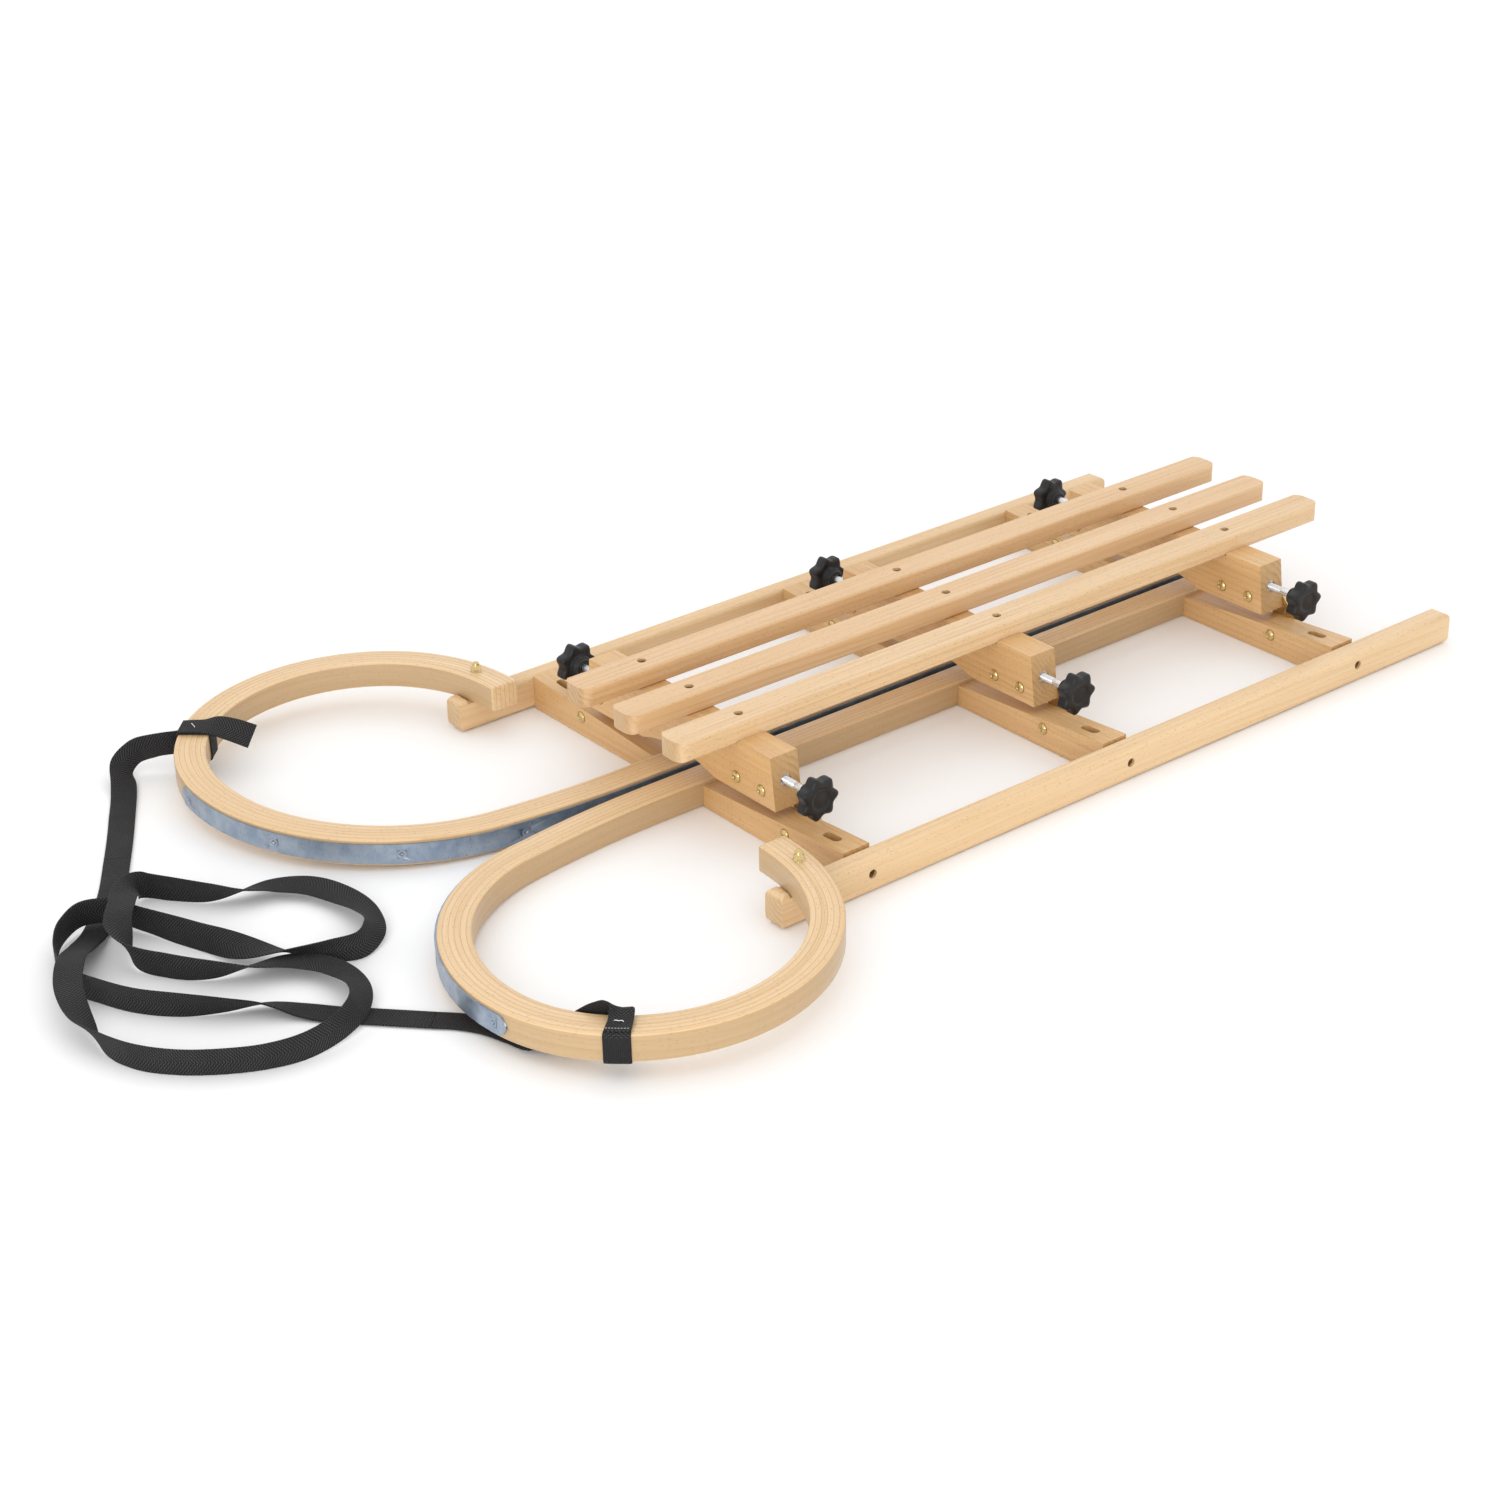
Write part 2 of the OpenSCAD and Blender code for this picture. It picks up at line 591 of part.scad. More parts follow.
// A flat ribbon along ROUTE, a list of [x, y, z, lean]. Lean 0 stands it on edge, 90 lays it
// flat. It carries the same diagonals on both faces, so that a twist stays a clean solid.
RIBBON = [[-1, 0.5], [-0.9, 1], [0.9, 1], [1, 0.5]];
function unit(v) = v / norm(v);
function xyz(p) = [p[0], p[1], p[2]];
module ribbon(route) {
    last = len(route) - 1;
    edge = len(RIBBON) - 1;
    points = [for (i = [0:last]) let (
        p = route[i],
        t = unit(xyz(route[min(i + 1, last)]) - xyz(route[max(i - 1, 0)])),
        side = unit(cross([0, 0, 1], t)),
        wide = cos(p[3]) * cross(t, side) + sin(p[3]) * side,
        thick = cross(t, wide))
        for (f = [1, -1], c = RIBBON)
            xyz(p) + c[0] * strap_w / 2 * wide + f * c[1] * strap_t / 2 * thick];
    ring = 2 * (edge + 1);
    // The two faces, each split from its first edge to its second edge one ring on
    faces = [for (i = [0:last - 1], j = [0:edge - 1], side = [0, 1]) let (
        a = i * ring + side * (edge + 1) + j, b = a + 1, c = b + ring, d = a + ring)
        each side == 0 ? [[a, b, c], [a, c, d]] : [[a, c, b], [a, d, c]]];
    // The two edges
    rims = [for (i = [0:last - 1], j = [0, edge]) let (
        a = i * ring + j, b = a + edge + 1, c = b + ring, d = a + ring)
        each j == 0 ? [[a, c, b], [a, d, c]] : [[a, b, c], [a, c, d]]];
    ends = [[for (j = [edge:-1:0]) j, for (j = [0:edge]) edge + 1 + j],
            [for (j = [0:edge]) last * ring + j, for (j = [edge:-1:0]) last * ring + edge + 1 + j]];
    polyhedron(points, concat(faces, rims, ends), convexity = 12);
}

// The route from the left horn, through the loops that lie in front, to the right horn
ROUTE = [
    // Off the left horn and down to the ground
    [-362.2, -356.6, 30, 0], [-373, -378, 29, 0], [-386, -394, 22, -10], [-382, -410, 12, -50], [-362, -420, 3, -85],
    // Flat along the ground, then over the first loop
    [-304, -453, 1.5, -90], [-237, -493, 1.5, -90], [-168, -538, 1.5, -90], [-125, -574, 3, -90],
    [-95, -600, 14, -90], [-60, -627, 28, -90], [-25, -647, 26, -85], [18, -657, 17, -60],
    // The near strand and round the right end of the second loop
    [50, -658, 13, -15], [86, -648, 12.6, 0], [119, -624, 12.6, 0], [143, -594, 12.6, 0],
    [160, -562, 12.6, 0], [167, -533, 13, 5], [164, -500, 15, 12], [147, -468, 17, 32],
    [118, -450, 16, 65], [90, -447, 14, 85], [65, -453, 13, 92], [44, -470, 13, 88],
    [28, -502, 13, 62], [10, -531, 13, 20], [-20, -556, 12.6, 0], [-52, -573, 15, 12],
    // Over the other strands
    [-84, -569, 28, 75], [-115, -549, 31, 90], [-145, -527, 24, 60], [-159, -508, 14, 10],
    // The far strand and round the right end of the first loop
    [-138, -490, 12.6, 0], [-108, -466, 13, -20], [-93, -441, 12, -60], [-86, -414, 10, -88],
    [-67, -393, 11, -100], [-29, -378, 12, -100], [12, -376, 14, -75], [45, -388, 15, -40],
    [59, -410, 13, -15], [50, -438, 13, 10], [22, -471, 13, 65], [-1, -490, 13, 110],
    [-33, -506, 13, 155], [-68, -521, 13, 165], [-103, -536, 14, 180], [-133, -554, 17, 180],
    // Round the left end, under the band that crosses it
    [-143, -576, 17, 180], [-132, -601, 14, 180], [-107, -620, 12.6, 180], [-79, -630, 12.6, 180],
    [-49, -631, 12.6, 180], [-24, -622, 12.6, 180],
    // Back to the right and flat beneath the second loop
    [10, -606, 12.6, 180], [42, -580, 12.6, 175], [66, -551, 12, 150], [85, -519, 9, 117],
    [105, -497, 3, 95], [128, -477, 1.5, 90], [150, -456, 1.5, 90], [188, -420, 1.5, 90]];

// The last stretch belongs to the right horn: under it, and up inside the loop
UNDER_HORN = [[188.5, -419.5, 1.5, 90], [204, -404.8, 1.5, 90], [226, -391, 1.5, 90],
              [255, -382, 1.5, 90], [285, -370, 2, 90], [301, -348, 9, 55],
              [323.5, -338.5, 24, 5], [343.2, -323.2, 28, 0]];

module pull_strap() { color(black) placed() ribbon(ROUTE); }

// A band round the horn
module strap_band() {
    S = [for (i = [-1:0.5:1]) strap_s + i * strap_w / 2];
    W = [for (i = [-1.2:0.6:1.2]) strap_s + i * strap_w / 2];
    r = runner_w / 2 + touch / 2;
    difference() {
        path_bar(S, chamfered(-r - strap_t, r + strap_t, -touch / 2 - strap_t,
                              runner_h + touch / 2 + strap_t, 1.2 + strap_t));
        path_bar(W, chamfered(-r, r, -touch / 2, runner_h + touch / 2, 1.2));
    }
}

tail_l = 38;
module strap_wrap(s) {
    color(black) placed() {
        on_side(s) strap_band();
        if (s == "left") on_side(s) on_horn(-runner_w / 2 - tail_l, runner_h + touch / 2 + 0.2)
            cube([tail_l + 2, strap_w - 0.2, strap_t - 0.4]);
        else ribbon(UNDER_HORN);
    }
}

// Children drawn beside the strap's band, +X pointing out of the horn
module on_horn(off, z) {
    translate(beside(strap_s, off, z)) rotate([0, 0, along(strap_s)[2] + 180])
        translate([0, -strap_w / 2 + 0.1, 0]) children();
}

staple_w = 11;
module strap_staple(s) {
    color(zinc) placed() on_side(s) on_horn(2, runner_h + touch / 2 + strap_t)
        translate([0, strap_w / 2 - staple_w / 2, 0.25]) cube([1.3, staple_w, 0.7]);
}

// ---- The sub-parts ------------------------------------------------------------------

slat(-slat_pitch);  // seat_slat_left
slat(0);  // seat_slat_middle
slat(slat_pitch);  // seat_slat_right
seat_screws();
beam_bolts();
beam_nuts();
knob_inserts();
pull_strap();
for (k = [0:2]) {
    crossbeam(k);
    for (s = SIDES) {
        hinge_plate(k, s);
        post(k, s);
        knob_stud(k, s);
        star_knob(k, s);
    }
}
for (s = SIDES) {
    runner(s);
    steel_strip(s);
    strip_screws(s);
    post_screws(s);
    side_rail(s);
    rail_screws(s);
    pivot_bolts(s);
    pivot_nuts(s);
    horn_bolt(s);
    strap_wrap(s);
    strap_staple(s);
}
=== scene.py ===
"""A folding horn toboggan in beech, folded flat on the ground.

Two side frames lie flat with their runners together along the middle, and the slatted seat
stands over them. Lengths are in metres, +Y runs to the rear and +Z up. Distances along a
runner are measured from the start of its bend, positive towards the horn's tip.
"""
import json
import math

import bmesh
import bpy
import numpy as np
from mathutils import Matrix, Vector

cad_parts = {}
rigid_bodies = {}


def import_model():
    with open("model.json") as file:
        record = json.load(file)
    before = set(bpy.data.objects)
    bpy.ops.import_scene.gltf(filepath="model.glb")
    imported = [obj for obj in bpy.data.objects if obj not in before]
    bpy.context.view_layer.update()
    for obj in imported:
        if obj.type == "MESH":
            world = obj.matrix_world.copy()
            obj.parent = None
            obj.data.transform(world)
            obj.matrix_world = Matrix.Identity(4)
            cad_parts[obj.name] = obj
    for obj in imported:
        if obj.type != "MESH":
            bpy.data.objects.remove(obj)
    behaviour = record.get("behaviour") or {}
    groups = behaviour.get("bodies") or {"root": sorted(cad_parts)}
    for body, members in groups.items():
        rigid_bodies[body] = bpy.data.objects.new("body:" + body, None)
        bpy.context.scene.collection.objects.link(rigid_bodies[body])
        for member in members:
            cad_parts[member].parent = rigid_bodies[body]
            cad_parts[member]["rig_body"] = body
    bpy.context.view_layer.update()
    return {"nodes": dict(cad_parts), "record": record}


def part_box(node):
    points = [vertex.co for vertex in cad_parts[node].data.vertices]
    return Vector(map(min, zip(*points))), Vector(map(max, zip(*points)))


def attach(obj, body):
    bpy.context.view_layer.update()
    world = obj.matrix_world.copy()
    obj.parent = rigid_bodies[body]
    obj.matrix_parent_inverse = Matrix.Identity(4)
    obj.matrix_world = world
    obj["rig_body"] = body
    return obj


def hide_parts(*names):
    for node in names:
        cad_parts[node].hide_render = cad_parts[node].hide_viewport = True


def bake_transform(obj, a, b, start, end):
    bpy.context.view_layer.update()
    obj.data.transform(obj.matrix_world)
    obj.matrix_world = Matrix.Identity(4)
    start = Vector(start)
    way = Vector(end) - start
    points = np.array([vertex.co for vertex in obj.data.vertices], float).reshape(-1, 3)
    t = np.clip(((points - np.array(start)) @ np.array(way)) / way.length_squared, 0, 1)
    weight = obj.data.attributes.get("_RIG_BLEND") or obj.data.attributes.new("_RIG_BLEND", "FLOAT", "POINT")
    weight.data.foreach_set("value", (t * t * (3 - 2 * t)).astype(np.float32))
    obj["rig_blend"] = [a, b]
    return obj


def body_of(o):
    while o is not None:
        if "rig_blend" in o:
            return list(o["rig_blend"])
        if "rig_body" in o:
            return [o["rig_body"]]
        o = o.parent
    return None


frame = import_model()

MM = 0.001
# Each side with the sign of its X
SIDES = (("left", -1.0), ("right", 1.0))
ROWS = ("front", "middle", "rear")


def middle_of(node):
    """The middle of a CAD node's box."""
    low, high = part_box(node)
    return (np.array(low) + np.array(high)) / 2


# The front crossbeam's middle is where the design's own Y starts.
FRONT_Y = middle_of("crossbeam_front")[1]

# ---- Camera ---------------------------------------------------------------------------


def make_camera():
    """A long lens, above the right side and in front of the horns."""
    camera = bpy.data.objects.new("camera", bpy.data.cameras.new("camera"))
    camera.data.lens = 69.26
    camera.data.sensor_width = 36.0
    camera.data.clip_end = 50.0
    camera.location = (1.9711, FRONT_Y - 1.4736, 1.3124)
    camera.rotation_euler = [math.radians(a) for a in (62.633, 1.238, 51.266)]
    bpy.context.collection.objects.link(camera)
    bpy.context.scene.camera = camera


make_camera()

# ---- Meshes ---------------------------------------------------------------------------


def grid_faces(rows, columns, around=False, along=False):
    """Quads of a grid of points: each joins a point, its next column and the next row. around
    joins the last column to the first, and along the last row to the first."""
    r = np.arange(rows if along else rows - 1)[:, None]
    c = np.arange(columns if around else columns - 1)[None, :]
    a = r * columns + c
    b = r * columns + (c + 1) % columns
    d = ((r + 1) % rows) * columns + c
    e = ((r + 1) % rows) * columns + (c + 1) % columns
    return np.stack([a, b, e, d], -1).reshape(-1, 4)


def make_piece(name, points, faces, pattern=None):
    """A mesh object from points and faces. Its faces point outwards: the solid's signed volume,
    a sixth of the sum of each fan triangle's a . (b x c), is made positive. pattern is a vector
    for each point, which the finishes read as where the surface lies in its own material."""
    points = np.asarray(points, float).reshape(-1, 3)
    faces = [list(f) for f in faces]
    volume = 0.0
    quads = np.array([f for f in faces if len(f) == 4])
    for k in (1, 2):
        a, b, c = (points[quads[:, i]] for i in (0, k, k + 1))
        volume += float(np.einsum("ij,ij->", a, np.cross(b, c)))
    if volume < 0:
        faces = [f[::-1] for f in faces]
    mesh = bpy.data.meshes.new(name)
    mesh.from_pydata(points.tolist(), [], faces)
    mesh.polygons.foreach_set("use_smooth", np.ones(len(faces), bool))
    if pattern is not None:
        field = mesh.attributes.new("pattern", "FLOAT_VECTOR", "POINT")
        field.data.foreach_set("vector", np.asarray(pattern, np.float32).ravel())
    mesh.update()
    piece = bpy.data.objects.new(name, mesh)
    bpy.context.collection.objects.link(piece)
    return piece


def tube(name, rings, pattern=None):
    """A closed solid from rings of points, shape (rings, points in a ring, 3), with flat ends."""
    count, size = rings.shape[:2]
    faces = grid_faces(count, size, around=True).tolist()
    faces += [list(range(size))[::-1], list(range((count - 1) * size, count * size))]
    return make_piece(name, rings, faces, pattern)


def rounded_box_outline(width, height, radius, corner=5):
    """A rectangle with round corners, centred on zero: each corner is a quarter circle about a
    point that lies radius inside both sides."""
    turn = np.linspace(0, math.pi / 2, corner)
    quarter = radius * np.stack([np.cos(turn), np.sin(turn)], -1)
    w, h = width / 2 - radius, height / 2 - radius
    parts = []
    for k, (x, y) in enumerate([(w, h), (-w, h), (-w, -h), (w, -h)]):
        c, s = math.cos(k * math.pi / 2), math.sin(k * math.pi / 2)
        parts.append(quarter @ np.array([[c, s], [-s, c]]) + [x, y])
    return np.concatenate(parts)


def distances(points):
    """Distance of each point from the first along the line: the sum of the steps up to it."""
    steps = np.linalg.norm(np.diff(points, axis=0), axis=1)
    return np.concatenate([[0], np.cumsum(steps)])


def smooth_line(points, step):
    """A smooth line through points, sampled about every step: cubic Hermite pieces over the
    chord length, whose slope at a point is that between its two neighbours. Further columns,
    such as a lean, are carried along in the same way."""
    points = np.asarray(points, float)
    u = distances(points[:, :3])
    slope = np.gradient(points, u, axis=0)
    t = np.linspace(0, u[-1], max(2, int(round(u[-1] / step)) + 1))
    i = np.clip(np.searchsorted(u, t, side="right") - 1, 0, len(u) - 2)
    h = (u[i + 1] - u[i])[:, None]
    x = (t[:, None] - u[i][:, None]) / h
    return (
        (2 * x**3 - 3 * x**2 + 1) * points[i]
        + (x**3 - 2 * x**2 + x) * h * slope[i]
        + (3 * x**2 - 2 * x**3) * points[i + 1]
        + (x**3 - x**2) * h * slope[i + 1]
    )


def unit(v):
    """Each vector over its own length."""
    return v / np.maximum(np.linalg.norm(v, axis=-1, keepdims=True), 1e-12)



# ---- Runner's path --------------------------------------------------------------------

RUNNER_WIDTH = 31 * MM
RUNNER_HEIGHT = 27 * MM
HALF_GAP = 6.5 * MM
BEAM_SPAN = 656 * MM
REAR_OVERHANG = 88 * MM
# The bend starts this far in front of the front crossbeam
BEND_AHEAD = 60 * MM
RUNNER_BACK = -(BEAM_SPAN + REAR_OVERHANG + BEND_AHEAD)
PATH_X = HALF_GAP + RUNNER_WIDTH / 2
# Radius in metres and angle in degrees of each arc of the horn
BENDS = ((1.000, 9.0), (0.204, 86.0), (0.155, 150.0), (0.225, 25.0))
BEND_STARTS = np.concatenate([[0], np.cumsum([r * math.radians(a) for r, a in BENDS])])
BEND_LENGTH = BEND_STARTS[-1]
# The horn's underside rises by this much between these two distances
RISE = 30 * MM
RISE_FROM = 150 * MM
RISE_TO = BEND_LENGTH - 70 * MM


def along_runner(s):
    """Place (x, y) and heading at distance s. The path is straight, then four arcs that join
    tangentially: on an arc of radius r about c, the place is c - r (cos h, sin h), where the
    heading h grows by ds / r, and c is the arc's start plus r (cos h, sin h)."""
    s = np.asarray(s, float)
    x = np.full(s.shape, PATH_X)
    y = FRONT_Y - BEND_AHEAD - np.minimum(s, 0)
    heading = np.zeros(s.shape)
    start, turned = np.array([PATH_X, FRONT_Y - BEND_AHEAD]), 0.0
    for (radius, angle), s0 in zip(BENDS, BEND_STARTS):
        centre = start + radius * np.array([math.cos(turned), math.sin(turned)])
        here = s > s0
        h = turned + np.minimum((s - s0) / radius, math.radians(angle))
        x = np.where(here, centre[0] - radius * np.cos(h), x)
        y = np.where(here, centre[1] - radius * np.sin(h), y)
        heading = np.where(here, h, heading)
        turned += math.radians(angle)
        start = centre - radius * np.array([math.cos(turned), math.sin(turned)])
    return x, y, heading


def lift(s):
    """Height of the runner's underside: it rises evenly between two distances."""
    return RISE * np.clip((s - RISE_FROM) / (RISE_TO - RISE_FROM), 0, 1)


def beside_runner(s, off, z, side=1.0):
    """Points off outwards from the path and z above the runner's underside. side -1 mirrors."""
    x, y, h = along_runner(s)
    px = x - off * np.cos(h)
    py = y - off * np.sin(h)
    pz = z + lift(s)
    return np.stack(np.broadcast_arrays(side * px, py, pz), -1)


GRAIN_APART = 0.1


def swept(name, s, outlines, side):
    """A solid along the runner's path. outlines holds one outline of (off, z) for each s. The
    grain's third coordinate is moved apart on the two sides, so that they aren't alike."""
    off, z = outlines[..., 0], outlines[..., 1]
    rings = beside_runner(s[:, None], off, z, side)
    pattern = np.stack(np.broadcast_arrays(s[:, None], off, z + GRAIN_APART * side), -1)
    return tube(name, rings, pattern)


# ---- Pull strap -----------------------------------------------------------------------

STRAP_WIDTH = 25 * MM
STRAP_THICKNESS = 1.8 * MM
# x, y, z and lean of each point, in millimetres and degrees, with y from the front crossbeam.
# Lean 0 stands the webbing on edge, and 90 lays it flat
STRAP_ROUTE = [
    [-361.5, -355.7, 30, 0], [-373, -378, 29, 0], [-386, -394, 22, -10], [-382, -410, 14, -45],
    [-362, -420, 6, -78],
    [-304, -453, 1.6, -90], [-237, -493, 1.5, -90], [-168, -538, 1.5, -90], [-125, -574, 3, -90],
    [-95, -600, 14, -90], [-60, -627, 28, -90], [-25, -647, 26, -85], [18, -657, 17, -60],
    [50, -658, 13, -15], [86, -648, 12.6, 0], [119, -624, 12.6, 0], [143, -594, 12.6, 0],
    [160, -562, 12.6, 0], [167, -533, 13, 5], [164, -500, 15, 12], [147, -468, 17, 32],
    [118, -450, 16, 65], [90, -447, 14, 85], [65, -453, 13, 92], [44, -470, 13, 88],
    [28, -502, 13, 62], [10, -531, 13, 20], [-20, -556, 12.6, 0], [-52, -573, 15, 12],
    [-84, -569, 28, 75], [-115, -549, 31, 90], [-145, -527, 24, 60], [-159, -508, 14, 10],
    [-138, -490, 12.6, 0], [-108, -466, 13, -20], [-93, -441, 12, -60], [-86, -414, 10, -88],
    [-67, -393, 11, -100], [-29, -378, 12, -100], [12, -376, 14, -75], [45, -388, 15, -40],
    [59, -410, 13, -15], [50, -438, 13, 10], [22, -471, 13, 65], [-1, -490, 13, 110],
    [-33, -506, 13, 155], [-68, -521, 13, 165], [-103, -536, 14, 180], [-133, -554, 17, 180],
    [-143, -576, 17, 180], [-132, -601, 14, 180], [-107, -620, 12.6, 180], [-79, -630, 12.6, 180],
    [-49, -631, 12.6, 180], [-24, -622, 12.6, 180],
    [10, -606, 12.6, 180], [42, -580, 12.6, 175], [66, -551, 12, 150], [85, -519, 9, 117],
    [105, -497, 3, 95], [128, -477, 1.5, 90], [150, -456, 1.5, 90], [188, -420, 1.5, 90],
]


# The point of the route where the left lead has come down flat on the ground
LEAD_END = 6


def route_points(route):
    """Route points in metres in the part's frame, with the lean left in degrees."""
    points = np.array(route, float)
    points[:, :3] *= MM
    points[:, 1] += FRONT_Y
    return points


# Outline of the webbing from one selvedge to the other: place over half the width, and share of
# the thickness
ACROSS = np.array([-1, -0.97, -0.9, -0.6, -0.2, 0.2, 0.6, 0.9, 0.97, 1.0])
FULLNESS = np.array([0.4, 0.75, 1, 1, 1, 1, 1, 1, 0.75, 0.4])


def ribbon_rings(line, wide=None, width=STRAP_WIDTH):
    """Rings of a webbing ribbon along line, columns x, y, z, lean. The width's direction turns
    from the upright across the line towards the level one by the lean; wide gives it instead.
    The outline is a flat lens: its thickness falls to two fifths at the two selvedges. The
    second value returned holds (across, along, face) for the weave."""
    centre = line[:, :3]
    t = unit(np.gradient(centre, axis=0))
    if wide is None:
        level = unit(np.cross([0, 0, 1.0], t))
        lean = np.radians(line[:, 3:4])
        wide = np.cos(lean) * np.cross(t, level) + np.sin(lean) * level
    wide = unit(wide - np.sum(wide * t, -1, keepdims=True) * t)
    thick = np.cross(t, wide)
    a = np.concatenate([ACROSS, ACROSS[::-1]]) / 2
    d = np.concatenate([FULLNESS, -FULLNESS[::-1]]) / 2 * STRAP_THICKNESS
    flat = a[None, :, None] * width
    rings = centre[:, None] + flat * wide[:, None] + d[None, :, None] * thick[:, None]
    weave = np.broadcast_arrays(
        a[None, :] * STRAP_WIDTH, distances(centre)[:, None], np.sign(d)[None, :]
    )
    return rings, np.stack(weave, -1)


def make_strap():
    """The free webbing on its route: the lead off the left horn, which bends with it, and the
    loops. Both are cut from one smooth ribbon. Returns each piece with its centreline."""
    route = route_points(STRAP_ROUTE)
    line = smooth_line(route, 2.5 * MM)
    rings, weave = ribbon_rings(line)
    cut = int(np.argmin(np.linalg.norm(line[:, :2] - route[LEAD_END, :2], axis=1)))
    made = {}
    for name, a, b in (("strap_lead_left", 0, cut + 1), ("strap_loops", cut, len(line))):
        made[name] = (tube(name, rings[a:b], weave[a:b]), line[a:b, :3])
    return made


strap = make_strap()

# The webbing's turn round each horn: its width there, its place along the runner as a share of
# the third arc, its gap from the wood and its thickness with the fold
WRAP_WIDTH = 21.5 * MM
WRAP_SHARE = 0.265
WRAP_AT = BEND_STARTS[2] + (BEND_STARTS[3] - BEND_STARTS[2]) * WRAP_SHARE
WRAP_GAP = 0.3 * MM
WRAP_THICKNESS = 1.4 * MM


def on_runner_line(points, side):
    """Points [along, off, z] in millimetres about the turn's place, in the part's frame."""
    p = np.array(points, float) * MM
    return beside_runner(WRAP_AT + p[..., 0], p[..., 1], p[..., 2], side)


def wrap_ring(name, side):
    """The turn round the horn: an outline a little outside the runner's own, carried across the
    webbing's width. Its outer surface falls to the inner one at both edges."""
    grow = 2 * WRAP_GAP
    inner = rounded_box_outline(RUNNER_WIDTH + grow, RUNNER_HEIGHT + grow, 2.4 * MM, 6)
    grow += 2 * WRAP_THICKNESS
    outer = rounded_box_outline(RUNNER_WIDTH + grow, RUNNER_HEIGHT + grow, 3.8 * MM, 6)
    s = WRAP_AT + np.array([-1, -0.98, -0.9, 0, 0.9, 0.98, 1]) * WRAP_WIDTH / 2
    lips = np.array([0.3, 0.85, 1, 1, 1, 0.85, 0.3])[:, None, None]
    shell = inner[None] + (outer - inner)[None] * lips
    core = np.repeat(inner[None], len(s), 0)
    outlines = np.concatenate([shell, core[::-1]])
    spots = np.concatenate([s, s[::-1]])
    off, z = outlines[..., 0], outlines[..., 1] + RUNNER_HEIGHT / 2
    rings = beside_runner(spots[:, None], off, z, side)
    weave = np.broadcast_arrays(
        (spots - WRAP_AT)[:, None], distances(outer)[None, :], np.ones(off.shape)
    )
    faces = grid_faces(len(spots), len(inner), around=True, along=True)
    return make_piece(name, rings, faces, np.stack(weave, -1))


def wrap_strip(name, points, side, across):
    """A ribbon near the horn. across gives the width's direction at each point, in the same
    terms as the points: along the runner, off and z."""
    base = on_runner_line(points, side)
    tip = on_runner_line(np.array(points, float) + np.array(across, float), side)
    both = np.concatenate([base, unit(tip - base)], 1)
    line = smooth_line(both, 2 * MM)
    rings, weave = ribbon_rings(line, wide=line[:, 3:])
    return tube(name, rings, weave)


wraps = {side: wrap_ring("strap_turn_" + side, g) for side, g in SIDES}
# The cut end on the left horn lies over the top and droops a little inside the loop
tail = wrap_strip(
    "strap_cut_end",
    [[0, 15, 29.6], [0, 6, 30.4], [0, -8, 31.0], [0, -20, 32.0], [-1, -36, 29.0], [-3, -57, 22.5]],
    -1.0,
    [[1, 0, 0], [1, 0, 0], [1, 0, 0.05], [1, 0, 0.28], [1, 0, 0.5], [1, 0, 0.6]],
)
# On the right the webbing runs flat under the horn. UNDER holds its centres, as the route does
UNDER = [
    [188, -420, 1.5], [204, -404.8, 1.5], [226, -391, 1.6], [254, -382, 2.0], [278, -375.5, 4.5],
]
# Then it rises inside the loop and folds over the top. Each row of OVER is a centre and the
# direction of the width, both as along the runner, off and z
OVER = [
    [-58, -27, 2, 0.42, -0.82, -0.4], [-38, -22.5, 15, 0.5, -0.35, -0.79],
    [-20, -20.5, 25, 0.66, -0.15, -0.74], [-8, -18, 31, 0.88, -0.1, -0.45],
    [0, -12.5, 34, 1, 0, -0.12], [1, -5, 31.5, 1, 0, 0], [1, 5, 30.0, 1, 0, 0],
    [1, 14, 29.7, 1, 0, 0],
]
# The webbing narrows to the turn's width over this stretch, in shares of the lead's length
NARROWS = (0.75, 0.90)


def make_right_lead():
    """The lead off the right horn. Returns the piece, its centreline, and the place on the horn
    from which it follows the side frame alone."""
    under = route_points(UNDER)
    under_wide = unit(np.cross([0, 0, 1.0], np.gradient(under, axis=0)))
    rows = np.array(OVER, float)
    over = on_runner_line(rows[:, :3], 1.0)
    over_wide = unit(on_runner_line(rows[:, :3] + rows[:, 3:], 1.0) - over)
    ways = [np.concatenate([under, over]), np.concatenate([under_wide, over_wide])]
    line = smooth_line(np.concatenate(ways, 1), 2 * MM)
    share = np.linspace(0, 1, len(line))
    narrow = np.clip((share - NARROWS[0]) / (NARROWS[1] - NARROWS[0]), 0, 1)
    width = STRAP_WIDTH + (WRAP_WIDTH - STRAP_WIDTH) * narrow
    rings, weave = ribbon_rings(line, line[:, 3:], width[:, None, None])
    return tube("strap_lead_right", rings, weave), line[:, :3], over[1]


lead_right, lead_right_line, lead_right_hold = make_right_lead()


# A direction that no wire here runs along
ASKEW = (0.31, 0.52, 0.79)
STAPLE_WIRE = 0.45 * MM
# One leg and shoulder of a staple and half its crown, from its middle and down from its crown
HALF_STAPLE = [(-4, -3), (-4, -0.6), (-3.5, 0), (0, 0)]
STAPLE_OFF = 2
STITCHES = 8
STITCH_PITCH = 2.4


def wire(name, points, radius, count=10):
    """A round wire with flat ends along a smooth line: each ring is a circle about the line, from
    the two directions square to it."""
    line = smooth_line(points, radius * 0.8)
    t = unit(np.gradient(line, axis=0))
    side = unit(np.cross(t, ASKEW))
    up = np.cross(t, side)
    a = np.linspace(0, 2 * math.pi, count, endpoint=False)[None, :, None]
    rings = line[:, None] + radius * (np.cos(a) * side[:, None] + np.sin(a) * up[:, None])
    return tube(name, rings)


